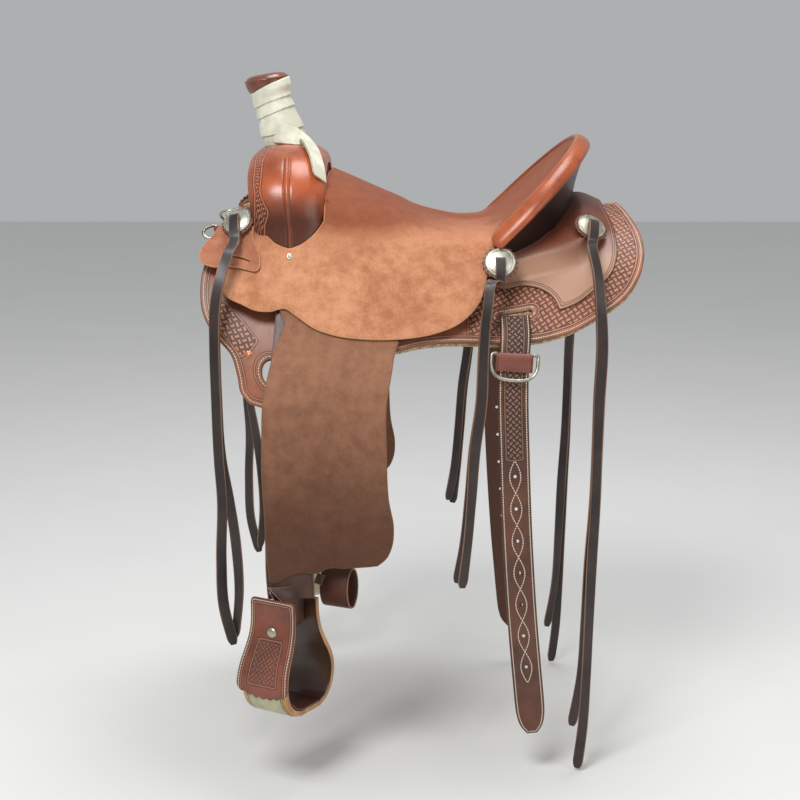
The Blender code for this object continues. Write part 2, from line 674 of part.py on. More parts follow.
def cantle_back_cover():
    """Leather over the back of the cantle, from under the roll down to the rear jockeys."""
    rows = []
    for angle in cantle_angles(11):
        rim, outer, base = rim_point(angle), roll_point(angle), base_point(angle, 1.4 * MM)
        top = rim * 0.42 + outer * 0.58 + [0, 0, -0.0125]
        sag = np.array([0.006, 0.004 * math.sin(angle), 0]) * -0.4
        rows.append([top + (base - top) * share + sag * math.sin(share * math.pi)
                     for share in np.linspace(0, 1, 5)])
    rows = np.array(rows)
    rows = np.concatenate([rows[:0:-1] * [1, -1, 1], rows])
    count = rows.shape[1]
    faces = [(i * count + k, i * count + k + 1, (i + 1) * count + k + 1, (i + 1) * count + k)
             for i in range(len(rows) - 1) for k in range(count - 1)]
    cover = new_object("cantle_back_cover", rows.reshape(-1, 3), faces, "dark_leather")
    form = bmesh.new()
    form.from_mesh(cover.data)
    bmesh.ops.recalc_face_normals(form, faces=form.faces)
    if sum(f.normal.x for f in form.faces) < 0:
        bmesh.ops.reverse_faces(form, faces=form.faces)
    form.to_mesh(cover.data)
    form.free()
    wall = cover.modifiers.new("thickness", "SOLIDIFY")
    wall.thickness = 2.0 * MM
    wall.offset = 1


def cantle_roll():
    """Padded leather roll along the rim, from the seat's stitch line out over the cantle's back."""
    rings = []
    for angle in cantle_angles(15):
        rim, outer = rim_point(angle), roll_point(angle)
        across = outer - rim
        width = np.linalg.norm(across)
        across /= width
        tangent = rim_point(angle + 0.01) - rim_point(angle - 0.01)
        up = np.cross(tangent, across)
        up /= np.linalg.norm(up)
        if up[2] < 0:
            up = -up
        half = width / 2 - 2.6 * MM
        middle = rim + across * (width - half)
        lobe = []
        for k in range(10):
            turn = 2 * math.pi * k / 10
            bulge = math.sin(turn)
            share = 0.62 if bulge > 0 else 0.38
            lobe.append(middle + across * half * math.cos(turn) + up * (ROLL_THICKNESS * share * bulge - 2.5 * MM))
        rings.append(lobe)
    rings = np.array(rings)
    mirrored = rings[:0:-1] * [1, -1, 1]
    loft("cantle_roll", np.concatenate([mirrored, rings]), "polished_leather")


# Leather cut flat

SKIRT_REAR = [(0.335, 0.002), (0.3402, 0.0238), (0.3503, 0.070), (0.3587, 0.1118), (0.3607, 0.156),
              (0.3516, 0.195), (0.3327, 0.2285),
              (0.3068, 0.2516), (0.2757, 0.268), (0.2391, 0.2794), (0.203, 0.2832), (0.167, 0.2800),
              (0.115, 0.2765), (0.0475, 0.2793), (0.0187, 0.2849), (0, 0.291)]
SKIRT_LOBE = [(0, 0.291), (-0.04, 0.305), (-0.08, 0.330), (-0.12, 0.362), (-0.16, 0.388),
              (-0.198, 0.4002), (-0.2172, 0.3985),
              (-0.2289, 0.3867), (-0.2349, 0.362), (-0.2454, 0.3324), (-0.2617, 0.3171),
              (-0.2813, 0.2935), (-0.288, 0.277), (-0.2914, 0.250),
              (-0.2912, 0.2293), (-0.285, 0.1928), (-0.2765, 0.1582), (-0.2637, 0.1228),
              (-0.2534, 0.0954), (-0.2442, 0.0751)]
SKIRT_TOP = [(-0.2442, 0.0751), (-0.215, 0.052), (-0.12, 0.038), (0, 0.034), (0.15, 0.026),
             (0.22, 0.012), (0.26, 0.002)]
RIG_HOLE = (-0.184, 0.3468, 0.0150, 0.0190)      # X, distance over the curve, half width, half height
BILLET_SLOT = (0.1665, 0.2330, 0.0245, 0.0035)


def oval(centre_a, centre_b, half_a, half_b, count):
    turn = np.linspace(0, 2 * math.pi, count, endpoint=False)
    return np.stack([centre_a + half_a * np.cos(turn), centre_b + half_b * np.sin(turn)], -1)


def skirt(name, side):
    loop = outline([SKIRT_REAR, SKIRT_LOBE[:7], SKIRT_LOBE[6:], SKIRT_TOP, [SKIRT_TOP[-1],
                   SKIRT_REAR[0]]], 0.020)
    slot_a, slot_b, half_a, half_b = BILLET_SLOT
    slot = np.array([(slot_a - half_a, slot_b - half_b), (slot_a + half_a, slot_b - half_b),
                     (slot_a + half_a, slot_b + half_b), (slot_a - half_a, slot_b + half_b)])
    flat = fill(loop, [oval(*RIG_HOLE, 12), slot], (0.035, 0.025))
    sheet(name, flat, lambda x, s: on_back(x, s, -SKIRT_LEATHER), side, SKIRT_LEATHER, "skirt_leather")


FLEECE_FRONT = [(0, 0.291), (-0.06, 0.300), (-0.14, 0.305), (-0.22, 0.306), (-0.272, 0.302)]
FLEECE_NOSE = [(-0.272, 0.302), (-0.286, 0.278), (-0.2912, 0.250), (-0.2905, 0.2293), (-0.285, 0.1928),
               (-0.2765, 0.1582), (-0.2637, 0.1228), (-0.2534, 0.0954), (-0.2442, 0.0751)]


def sheepskin(name, side):
    loop = outline([SKIRT_REAR, FLEECE_FRONT, FLEECE_NOSE, SKIRT_TOP, [SKIRT_TOP[-1], SKIRT_REAR[0]]],
                   0.024)
    flat = fill(loop, [], (0.035, 0.025))
    lift = -SKIRT_LEATHER - GAP
    slab(name, flat, lambda x, s: on_back(x, s, lift - FLEECE), lambda x, s: on_back(x, s, lift), side,
         "fleece")


RIG_PLATE = [(-0.255, 0.313), (-0.20, 0.3135), (-0.15, 0.3125), (-0.10, 0.3115)]
RIG_PLATE_FOOT = [(-0.10, 0.3115), (-0.105, 0.338), (-0.130, 0.362), (-0.165, 0.382), (-0.198, 0.3935),
                  (-0.2145, 0.3925), (-0.2230, 0.3835), (-0.2290, 0.360), (-0.240, 0.329), (-0.255, 0.313)]


def rigging_plate(name, side):
    """Stiffener behind the rigging lobe, with the cinch hole through both."""
    loop = outline([RIG_PLATE, RIG_PLATE_FOOT], 0.018)
    flat = fill(loop, [oval(*RIG_HOLE, 12)], (0.035, 0.025))
    sheet(name, flat, lambda x, s: on_back(x, s, -SKIRT_LEATHER - GAP - PLATE_LEATHER), side,
          PLATE_LEATHER, "skirt_leather")


JOCKEY_FIELD = [(0.133, 0.178), (0.1506, 0.1854), (0.1798, 0.186), (0.2055, 0.1993), (0.2221, 0.2182),
                (0.2313, 0.2416)]
JOCKEY_REAR = [(0.2313, 0.2416), (0.2591, 0.234), (0.2846, 0.2175), (0.3077, 0.1955), (0.3187, 0.165),
               (0.3212, 0.1165), (0.3175, 0.0766), (0.311, 0.038), (0.309, 0.003)]


def rear_jockey(name, side):
    base = []
    for angle in np.linspace(0, ROLL_END, 9):
        place = base_point(angle, 0.0)
        half = max(place[1], 0.0)
        s = float(arc_from_y(place[0], half)) if half > 0.016 else half
        base.append((place[0] + 0.0045, max(s, 0.003) + 0.004 * math.sin(angle)))
    loop = outline([JOCKEY_FIELD, JOCKEY_REAR, [JOCKEY_REAR[-1], base[0]], base, [base[-1],
                   JOCKEY_FIELD[0]]], 0.016)
    flat = fill(loop, [], (0.020, 0.020))
    sheet(name, flat, lambda x, s: on_back(x, s, shelf_height(x, s)), side, JOCKEY_LEATHER, "skirt_leather")


def flap_w(v, x):
    """Flat width coordinate of a point v down the flap."""
    return SEAT_HALF + v - float(along(x, SHOULDER))


FLAP_EDGE = [(-0.2618, 0.150), (-0.2448, 0.163), (-0.2168, 0.1695), (-0.1839, 0.167), (-0.1667, 0.167),
             (-0.1498, 0.1782), (-0.1217, 0.1979), (-0.0901, 0.2085), (-0.0486, 0.2136),
             (-0.0071, 0.2136), (0.0272, 0.210), (0.0472, 0.2055), (0.0903, 0.1858), (0.1151, 0.1569),
             (0.1241, 0.1263), (0.1285, 0.108)]
FLAP_CORNER = [(0.1285, 0.108), (0.1330, 0.092), (0.1395, 0.072)]
NOTCH = [(-0.1115, 0.0300), (-0.1154, 0.0370), (-0.1302, 0.0560), (-0.1496, 0.0700), (-0.1610, 0.0735),
         (-0.1728, 0.0700), (-0.1925, 0.0575), (-0.2070, 0.0430), (-0.2150, 0.0270)]
EAR_FRONT = [(-0.2150, 0.0270), (-0.230, 0.044), (-0.250, 0.060), (-0.2618, 0.090), (-0.2618, 0.150)]


def seat():
    """One-piece rough-out seat with its side jockeys, notched round the fork."""
    half = []
    half += list(smooth_run([(-0.1035, 0.0), (-0.1065, 0.030), (-0.1085, 0.060), (-0.1095, 0.090),
                             (-0.1100, 0.130), (-0.1105, 0.165)], 0.020))[:-1]
    half += [(x, flap_w(v, x)) for x, v in smooth_run(NOTCH, 0.014)]
    half += [(x, flap_w(v, x)) for x, v in smooth_run(EAR_FRONT, 0.022)][1:]
    half += [(x, flap_w(v, x)) for x, v in smooth_run(FLAP_EDGE, 0.022)][1:]
    half += [(x, flap_w(v, x)) for x, v in smooth_run(FLAP_CORNER, 0.014)][1:]
    half += [(RIM_X + RIM_DEPTH * math.cos(t) * 0.999,
             SEAT_HALF * math.sin(t) * 0.999) for t in np.radians(np.linspace(88, 0, 16))]
    half = np.array(half)
    other = half[-2:0:-1] * [1, -1]
    flat = fill(np.concatenate([half, other]), [], (0.024, 0.024), -0.170)
    obj = sheet("seat", flat, lambda x, w: on_seat(x, w), 1, SEAT_LEATHER, "rough_leather")
    obj.modifiers["thickness"].offset = -1


FRONT_JOCKEY = [(-0.2135, 0.047), (-0.2140, 0.070), (-0.2035, 0.098), (-0.2025, 0.112),
                (-0.2085, 0.123), (-0.2245, 0.130), (-0.2500, 0.133), (-0.2765, 0.132), (-0.2880, 0.126),
                (-0.2935, 0.112), (-0.2870, 0.092), (-0.2780, 0.080), (-0.2700, 0.066),
                (-0.2560, 0.052), (-0.2380, 0.042), (-0.2230, 0.041), (-0.2135, 0.047)]
JOCKEY_SLOT = [(-0.2560, 0.1130), (-0.2180, 0.1120), (-0.2180, 0.1155), (-0.2560, 0.1165)]


FRONT_LIFT = 1.8 * MM


def front_jockey(name, side):
    """Small jockey over the seat's ear, with the slot for a strap."""
    loop = outline([FRONT_JOCKEY], 0.012)
    flat = fill(loop, [np.array(JOCKEY_SLOT)], (0.024, 0.020), 0)
    sheet(name, flat, lambda x, v: on_flap(x, v, FRONT_LIFT), side, JOCKEY_LEATHER, "rough_leather")


# Conchos, rosettes and strings

def concho_frames():
    """Where each rosette sits: point on the leather below it, outward normal and down direction."""
    front = disc_on(lambda x, v: on_flap(x, v, FRONT_LIFT + JOCKEY_LEATHER), -0.2350, 0.0560)
    middle = disc_on(lambda x, v: on_flap(x, v, 0.0), 0.1450, 0.0980)
    rear = disc_on(lambda x, s: on_back(x, s, shelf_height(x, s) + JOCKEY_LEATHER), 0.2810, 0.1190,
                   -0.8 * MM)
    return {"front": front, "middle": middle, "rear": rear}


def disc_on(place, a, b, rest=0.5 * MM):
    """Where a rosette comes to rest on a curved surface: square to its mean plane, clear of it."""
    turn = np.linspace(0, 2 * math.pi, 16, endpoint=False)
    steps = np.stack([np.cos(turn), np.sin(turn)], -1)[None] * np.array([0.5, 1.0])[:, None,
                     None] * ROSETTE_RADIUS
    steps = steps.reshape(-1, 2)
    points = place(a + steps[:, 0], b + steps[:, 1])
    centre, normal, down = frame_on(place, a, b)
    middle = points.mean(0)
    fitted = np.linalg.svd(points - middle)[2][2]
    normal = fitted if fitted @ normal > 0 else -fitted
    down = down - normal * (down @ normal)
    down /= np.linalg.norm(down)
    proud = ((points - centre) @ normal).max()
    return centre + normal * (max(proud, 0) + rest), normal, down


def side_matrix(frame, side, lift):
    point, normal, down = [np.array(v) * [1, side, 1] for v in frame]
    return axis_frame(point + normal * lift, normal, -down)


def rosette(name, frame, side):
    """Leather washer with a scalloped edge."""
    scallops = 20
    turn = np.linspace(0, 2 * math.pi, 2 * scallops, endpoint=False)
    radius = ROSETTE_RADIUS - 0.9 * MM * (0.5 - 0.5 * np.cos(scallops * turn))
    rings = [np.stack([radius * np.cos(turn), radius * np.sin(turn), 0 * turn + h], -1) for h in (0,
                      ROSETTE_LEATHER)]
    obj = loft(name, rings, "dark_leather")
    obj.matrix_world = side_matrix(frame, side, GAP)


def concho(name, frame, side):
    """Domed silver concho, its edge rolled down to the rosette."""
    top = CONCHO_HEIGHT
    r = CONCHO_RADIUS
    profile = [(0, top), (r - 14 * MM, top), (r - 9 * MM, top - 0.8 * MM), (r - 3 * MM, 2.6 * MM),
               (r, 1.2 * MM), (r, 0), (0, 0)]
    revolve(name, profile, side_matrix(frame, side, 2 * GAP + ROSETTE_LEATHER), 22, "silver")


STRING_LAY = {
    "front": ([(-0.2480, 0.2060, 0.0060), (-0.2585, 0.2290, -0.0300), (-0.2650, 0.2380, -0.0700),
               (-0.2662, 0.2400, -0.1150), (-0.2653, 0.2405, -0.2010),
               (-0.2630, 0.2410, -0.2900), (-0.2596, 0.2420, -0.3500), (-0.2622, 0.2430, -0.4400),
               (-0.2600, 0.2430, -0.5100), (-0.2462, 0.2430, -0.5705)],
              [(-0.2480, 0.2010, 0.0020), (-0.2585, 0.2240, -0.0340), (-0.2645, 0.2330, -0.0720),
               (-0.2655, 0.2350, -0.1150), (-0.2640, 0.2355, -0.2010),
               (-0.2590, 0.2360, -0.2900), (-0.2494, 0.2370, -0.3500), (-0.2405, 0.2380, -0.4200),
               (-0.2374, 0.2380, -0.4900), (-0.2440, 0.2380, -0.5600)]),
    "middle": ([(0.1330, 0.2270, -0.0300), (0.1265, 0.2400, -0.0600), (0.1225, 0.2445, -0.0950),
                (0.1204, 0.2460, -0.1350), (0.1182, 0.2460, -0.2012),
                (0.1088, 0.2460, -0.2752), (0.1040, 0.2460, -0.3500), (0.0995, 0.2460, -0.4100),
                (0.0914, 0.2460, -0.4823)],
               [(0.1330, 0.2220, -0.0320), (0.1265, 0.2350, -0.0620), (0.1215, 0.2395, -0.0950),
                (0.1190, 0.2410, -0.1350), (0.1160, 0.2410, -0.2012),
                (0.1060, 0.2410, -0.2752), (0.1005, 0.2410, -0.3500), (0.0940, 0.2410, -0.4200),
                (0.0839, 0.2410, -0.4762)]),
    "rear": ([(0.2790, 0.1800, 0.0160), (0.2845, 0.2130, -0.0200), (0.2880, 0.2280, -0.0600),
              (0.2915, 0.2330, -0.1216), (0.2889, 0.2350, -0.2022),
              (0.2877, 0.2350, -0.2763), (0.2864, 0.2350, -0.3513), (0.2826, 0.2350, -0.4425),
              (0.2801, 0.2350, -0.5349), (0.2776, 0.2350, -0.6287),
              (0.2740, 0.2350, -0.7050), (0.2670, 0.2350, -0.7687)],
             [(0.2790, 0.1750, 0.0120), (0.2840, 0.2080, -0.0240), (0.2870, 0.2230, -0.0640),
              (0.2900, 0.2280, -0.1216), (0.2870, 0.2300, -0.2022),
              (0.2855, 0.2300, -0.2763), (0.2835, 0.2300, -0.3513), (0.2790, 0.2300, -0.4425),
              (0.2755, 0.2300, -0.5349), (0.2700, 0.2300, -0.6287), (0.2582, 0.2300, -0.7031)]),
}


def saddle_string(name, frame, lay, side):
    """Latigo string: folded over at the concho's middle, both its tails hanging."""
    point, normal, down = frame
    start = point + normal * (3 * GAP + ROSETTE_LEATHER + CONCHO_HEIGHT + STRING_LEATHER / 2)
    outer, inner = STRING_LAY[lay]
    lift = normal * 5.0 * MM
    over = start + lift
    ways = []
    for base, lay_points in ((over, outer), (start, inner)):
        run = [base, base + down * 0.012, base + down * 0.024 - normal * 2.0 * MM,
        base + down * 0.032 - normal * 5.0 * MM]
        ways.append(np.concatenate([run, smooth_run([run[-1], *lay_points], 0.036)[1:]]))
    first, second = ways
    turn = (start + over) / 2 + np.array([0, 0.2, 1]) * 4 * MM
    path = np.concatenate([first[::-1], [turn], second])
    over_concho = np.cross(normal, down)
    over_concho *= np.sign(over_concho[0])
    share = np.clip(1.5 - np.linalg.norm(path - start, axis=1) / 0.040, 0, 1)[:, None]
    across = over_concho * share + np.array([1.0, 0, 0]) * (1 - share)
    tangent = np.gradient(path, axis=0)
    tangent /= np.linalg.norm(tangent, axis=1)[:, None]
    wide = across - (across * tangent).sum(1)[:, None] * tangent
    wide /= np.linalg.norm(wide, axis=1)[:, None]
    proud = np.cross(tangent, wide)
    half, thick = wide * STRING_WIDTH / 2, proud * STRING_LEATHER / 2
    rings = np.stack([path + half + thick, path - half + thick, path - half - thick,
                     path + half - thick], 1)
    loft(name, rings, "string_leather", side)


# Breast collar ring

RING_FRAME = (-0.2700, 0.1450)


def breast_ring_matrix(side):
    point, normal, down = frame_on(lambda x, s: on_back(x, s, 0.0), *RING_FRAME)
    forward = np.cross(normal, down)
    forward = forward if forward[0] < 0 else -forward
    out = forward * 0.85 + down * 0.25
    point = point + normal * 0.8 * MM
    point, normal, out = [np.array(v) * [1, side, 1] for v in (point, normal, out)]
    return axis_frame(point, normal, out)


CHAPE_TUNNEL = 3.1 * MM
RING_WIRE = 2.2 * MM
CHAPE_LENGTH = 0.0300


def box_object(name, low, high, look):
    low, high = np.array(low), np.array(high)
    bpy.ops.mesh.primitive_cube_add(size=1)
    obj = bpy.context.object
    obj.name = name
    obj.data.name = name
    obj.data.transform(Matrix.Translation((low + high) / 2) @ Matrix.Diagonal((*(high - low), 1)))
    for home in list(obj.users_collection):
        home.objects.unlink(obj)
    parts.objects.link(obj)
    obj.data.materials.append(material(look, *LOOKS[look]))
    return obj


def breast_chape(name, side):
    """Folded leather tab with the ring's bar through its fold."""
    place = breast_ring_matrix(side)
    height = 2 * CHAPE_TUNNEL + 3.0 * MM
    profile = [(-CHAPE_LENGTH, 0), (0.004, 0), (0.0075, height * 0.3), (0.0075, height * 0.7),
               (0.003, height), (-0.006, height), (-CHAPE_LENGTH, 3 * MM)]
    half = 0.0085
    rings = [np.array([(x, y, z) for x, z in profile]) for y in (-half, half)]
    tab = loft(name, rings, "polished_leather")
    tab.matrix_world = place
    hole_place = place @ Matrix.Translation((0, 0, height / 2)) @ Matrix.Rotation(math.pi / 2, 4, "X")
    hole = baked(revolve(name + "_hole", [(0, -0.02), (CHAPE_TUNNEL, -0.02), (CHAPE_TUNNEL, 0.02),
        (0, 0.02)], hole_place, 14, "steel"))
    combine(tab, hole, "DIFFERENCE")


def wire_ring(name, points, wire, place, look, sides=8):
    """Closed wire through the given points of a plane."""
    path = np.array(points, float)
    ahead = np.roll(path, -1, axis=0) - np.roll(path, 1, axis=0)
    ahead /= np.linalg.norm(ahead, axis=1)[:, None]
    up = np.array([0, 0, 1.0])
    out = np.cross(ahead, up)
    turn = np.linspace(0, 2 * math.pi, sides, endpoint=False)
    rings = path[:, None] + wire * (np.cos(turn)[None, :, None] * out[:, None] + np.sin(turn)[None, :,
                                    None] * up)
    obj = loft(name, rings, look, closed=True)
    obj.matrix_world = place
    return obj


def dee_points(half_bar, length, bow, corner=0.004, square=1.0):
    """Outline of a D ring: its bar along Y at x = 0, the bow towards +X, squarer for a lower power."""
    turn = np.linspace(-math.pi / 2, math.pi / 2, 13)
    forth = np.maximum(np.cos(turn), 0) ** square
    side = np.sign(np.sin(turn)) * np.abs(np.sin(turn)) ** square
    reach = np.stack([corner + (length - corner) * forth, (half_bar + bow) * side, 0 * turn], -1)
    bar = [(0, y, 0) for y in (half_bar, half_bar * 0.33, -half_bar * 0.33, -half_bar)]
    return np.concatenate([reach, bar])


def breast_ring(name, side):
    place = breast_ring_matrix(side) @ Matrix.Translation((0, 0, CHAPE_TUNNEL + 1.5 * MM))
    wire_ring(name, dee_points(0.0105, 0.0225, 0.002), RING_WIRE, place, "steel")


# Flank billet

def billet_path():
    top = np.array(BILLET_TOP)
    x_tip, z_tip = BILLET_TIP
    points = [top, top + [0.001, 0.0215, -0.030], (0.1635, 0.2440, -0.150), (0.1665, 0.2480, -0.30),
        (0.1780, 0.2490, -0.50), (x_tip, 0.2490, z_tip)]
    return smooth_run(points, 0.030)


def flank_billet(name, side):
    """Billet strap with its row of holes; the keeper for the dee is sewn on."""
    path = billet_path()
    width = np.full(len(path), BILLET_WIDTH)
    width[-2:] = BILLET_WIDTH * np.array([0.92, 0.35])
    strap = loft(name, strip_rings(path, (1, 0, 0), width, BILLET_LEATHER), "dark_leather", side)
    keeper = box_object(name + "_keeper", (-0.0265, -KEEPER_HALF, -0.001),
                        (0.0265, KEEPER_HALF, KEEPER_PROUD), "dark_leather")
    keeper.matrix_world = keeper_matrix(side)
    combine(strap, baked(keeper), "UNION")
    tunnel_place = keeper_matrix(side) @ Matrix.Translation((0, KEEPER_HALF - 0.0055,
                                 KEEPER_PROUD / 2)) @ Matrix.Rotation(math.pi / 2, 4, "Y")
    tunnel = baked(revolve(name + "_tunnel", [(0, -0.04), (KEEPER_TUNNEL, -0.04), (KEEPER_TUNNEL, 0.04),
        (0, 0.04)], tunnel_place, 14, "steel"))
    combine(strap, tunnel, "DIFFERENCE")
    for i in range(7):
        place, ahead = path_at(path, 0.240 + HOLE_PITCH * 0.955 * i)
        place, ahead = place * [1, side, 1], ahead * [1, side, 1]
        out = np.cross(ahead, (1, 0, 0))
        matrix = axis_frame(place, out, ahead)
        punch = baked(revolve(f"{name}_hole_{i}", [(0, -0.01), (HOLE_RADIUS, -0.01),
            (HOLE_RADIUS, 0.01), (0, 0.01)], matrix, 8, "steel"))
        combine(strap, punch, "DIFFERENCE")


KEEPER_HALF = 0.0140
KEEPER_PROUD = 9.0 * MM
KEEPER_TUNNEL = 3.0 * MM
DEE_WIRE = 2.5 * MM


def path_at(path, distance):
    spans = np.linalg.norm(np.diff(path, axis=0), axis=1)
    length = np.concatenate(([0], np.cumsum(spans)))
    i = min(int(np.searchsorted(length, distance, side="right")) - 1, len(spans) - 1)
    t = (distance - length[i]) / spans[i]
    return path[i] * (1 - t) + path[i + 1] * t, (path[i + 1] - path[i]) / spans[i]


def keeper_matrix(side):
    """Frame on the billet's outer face at the keeper: X across, Y up the strap, Z outwards."""
    place, ahead = path_at(billet_path(), 0.072)
    out = np.cross((1, 0, 0), ahead)
    out = out if out[1] > 0 else -out
    place = place + out * BILLET_LEATHER / 2
    place, ahead, out = [np.array(v) * [1, side, 1] for v in (place, ahead, out)]
    return axis_frame(place, out, np.cross(-ahead, out))


def flank_ring(name, side):
    lean = Matrix.Rotation(math.radians(-7), 4, "X") @ Matrix.Rotation(-math.pi / 2, 4, "Z")
    place = keeper_matrix(side) @ Matrix.Translation((0, KEEPER_HALF - 0.0055, KEEPER_PROUD / 2)) @ lean
    wire_ring(name, dee_points(0.0335, 0.0355, 0, 0.006, 0.7), DEE_WIRE, place, "steel")


# Fender, stirrup leather and stirrup

FENDER_TOP = [(-0.1665, 0.1898), (-0.1760, 0.1560), (-0.1760, 0.1220), (-0.1690, 0.1060)]
FENDER_CREST = [(-0.1690, 0.1060), (-0.1110, 0.1060)]
FENDER_SHOULDER = [(-0.1110, 0.1060), (-0.0950, 0.1240), (-0.0600, 0.1560), (-0.0250, 0.1820),
                   (-0.0014, 0.2155)]
FENDER_REAR = [(-0.0014, 0.2155), (-0.0071, 0.2336), (-0.0114, 0.2619), (-0.0185, 0.3052),
               (-0.0186, 0.3698), (-0.0158, 0.4429), (-0.0086, 0.4871), (-0.0105, 0.5100),
               (-0.0190, 0.5300), (-0.0320, 0.5415)]
FENDER_FOOT = [(-0.0320, 0.5415), (-0.0520, 0.5434), (-0.0802, 0.5449), (-0.1040, 0.5449),
               (-0.1199, 0.5523), (-0.1416, 0.5509), (-0.1575, 0.5546), (-0.1750, 0.5643),
               (-0.1837, 0.5673), (-0.1895, 0.5643)]
FENDER_FRONT = [(-0.1895, 0.5643), (-0.1907, 0.5494), (-0.1934, 0.5285), (-0.1955, 0.4723),
                (-0.1989, 0.3989), (-0.1983, 0.3553), (-0.1963, 0.3052), (-0.1868, 0.2561),
                (-0.1789, 0.2231), (-0.1665, 0.1898)]


def fender(name, side):
    loop = outline([FENDER_TOP, FENDER_CREST, FENDER_SHOULDER, FENDER_REAR, FENDER_FOOT, FENDER_FRONT],
                   0.022)
    flat = fill(loop, [], (0.040, 0.0182))
    sheet(name, flat, lambda x, q: on_hang(x, q, STRAP_LEATHER + 1.0 * MM), side, FENDER_LEATHER,
          "fender_leather")


STRAP_TWIST = [  # height, degrees turned, width and the way between both layers
    (-0.4300, 0, 0.0700, 0.0046), (-0.4450, 0, 0.0700, 0.0046), (-0.4610, 0, 0.0695, 0.0048),
     (-0.4700, 10, 0.0640, 0.0060), (-0.4780, 24, 0.0555, 0.0085),
    (-0.4850, 38, 0.0465, 0.0120), (-0.4910, 50, 0.0435, 0.0160), (-0.4990, 57, 0.0435, 0.0195),
     (-0.5080, 59, 0.0435, 0.0220)]


def strap_layers():
    """Sections of the stirrup leather: down the outside, round the roller and up the inside.

    Each one is its middle, the direction of its width and the width."""
    rows = []
    for q in (0.108, 0.135, 0.165, 0.195, 0.225, 0.250, 0.268, 0.286, 0.304, 0.33, 0.38, 0.44, 0.50):
        x = float(along(q, STRAP_LINE))
        rows.append((on_hang(np.array(x), np.array(q), STRAP_LEATHER / 2), np.array([1.0, 0, 0]),
        STRAP_WIDTH))
    centre = np.array([*STIRRUP_CENTRE, BOLT_HEIGHT])
    out = np.array([math.cos(STIRRUP_TURN), math.sin(STIRRUP_TURN), 0.0])
    reach = ROLLER_RADIUS + 0.8 * MM + STRAP_LEATHER / 2
    back = []
    for height, degrees, width, way in STRAP_TWIST:
        q = HANG_BEND + HANG_RADIUS * (HANG_SLOPE - math.radians(62)) + (-0.2113 - height)
        high = on_hang(np.array(float(along(q, STRAP_LINE))), np.array(q), STRAP_LEATHER / 2)
        low = centre + out * reach
        share = float(smooth_step((-0.4500 - height) / 0.052))
        middle = high + (low - high) * share
        middle[2] = height
        turn = math.radians(degrees)
        across = np.array([math.cos(turn), -math.sin(turn), 0.0])
        normal = np.array([math.sin(turn), math.cos(turn), 0.0])
        low_share = float(smooth_step((-0.4600 - height) / 0.025))
        rows.append((middle, across, width))
        back.append((middle - (normal * (1 - low_share) + out * low_share) * way, across, width))
    across = rows[-1][1]
    for degrees in range(0, 181, 30):
        turn = math.radians(degrees)
        rows.append((centre + out * reach * math.cos(turn) - np.array([0, 0, reach * math.sin(turn)]),
        across, 0.0445))
    return rows + back[::-1]


STRAP_LINE = [(0.108, -0.140), (0.25, -0.150), (0.40, -0.160), (0.60, -0.160)]


def stirrup_leather(name, side):
    rows = strap_layers()
    rings = strip_rings([r[0] for r in rows], [r[1] for r in rows], [r[2] for r in rows], STRAP_LEATHER)
    strap = loft(name, rings, "dark_leather", side)
    form = bmesh.new()
    form.from_mesh(strap.data)
    bmesh.ops.triangulate(form, faces=form.faces)
    form.to_mesh(strap.data)
    form.free()


# Half of the stirrup's outside, seen through its opening: half width and height down to the tread.
STIRRUP_SIDE = [(0.0345, -0.4900), (0.0345, -0.5150), (0.0385, -0.5350), (0.0480, -0.5560),
                (0.0590, -0.5770), (0.0640, -0.5970),
                (0.0630, -0.6150), (0.0560, -0.6320), (0.0430, -0.6455), (0.0250, -0.6530)]
STIRRUP_HALF_DEPTH = [(-0.66, 0.0380), (-0.60, 0.0380), (-0.53, 0.0330), (-0.49, 0.0310)]
COVER_TOP = -0.4870
COVER_FOOT = -0.6060
COVER_HALF = [(-0.610, 0.0400), (-0.575, 0.0370), (-0.53, 0.0350), (-0.487, 0.0345)]


def stirrup_outline(lift):
    """The stirrup's profile from its outer neck round the tread, moved outwards by lift."""
    outer = smooth_run(STIRRUP_SIDE, 0.013)
    whole = np.concatenate([outer * [-1, 1], outer[::-1]])
    ahead = np.gradient(whole, axis=0)
    ahead /= np.linalg.norm(ahead, axis=1)[:, None]
    count = len(outer)
    normal = np.stack([ahead[:, 1], -ahead[:, 0]], -1)
    normal[0] = (-1, 0)
    normal[-1] = (1, 0)
    normal[count - 1] = (-math.sin(math.radians(11)), -1)
    normal[count] = (math.sin(math.radians(11)), -1)
    return whole + normal * lift


def in_stirrup(k, e, z):
    """Stirrup coordinates, across towards the horse, through the opening and up, in the saddle's frame."""
    across = np.array([math.sin(STIRRUP_TURN), -math.cos(STIRRUP_TURN)])
    through = np.array([math.cos(STIRRUP_TURN), math.sin(STIRRUP_TURN)])
    k, e, z = np.broadcast_arrays(k, e, z)
    plan = np.array(STIRRUP_CENTRE) + k[..., None] * across + e[..., None] * through
    return np.concatenate([plan, z[..., None]], -1)


def stirrup_band(name, low, high, inset, look, side):
    """Band bent to the stirrup's profile between two lifts, its edges inset from the stirrup's."""
    inner, outer = stirrup_outline(low), stirrup_outline(high)
    depth = along(stirrup_outline(0)[:, 1], STIRRUP_HALF_DEPTH) - inset
    rings = [in_stirrup(k, e, z) for k, e, z in (
        (outer[:, 0], -depth, outer[:, 1]), (outer[:, 0], depth, outer[:, 1]),
        (inner[:, 0], depth, inner[:, 1]), (inner[:, 0], -depth, inner[:, 1]))]
    return loft(name, np.stack(rings, 1), look, side)


def bolt_matrix(side):
    across = (math.sin(STIRRUP_TURN), -math.cos(STIRRUP_TURN) * side, 0)
    return axis_frame((STIRRUP_CENTRE[0], STIRRUP_CENTRE[1] * side, BOLT_HEIGHT), across, (0, 0, 1))


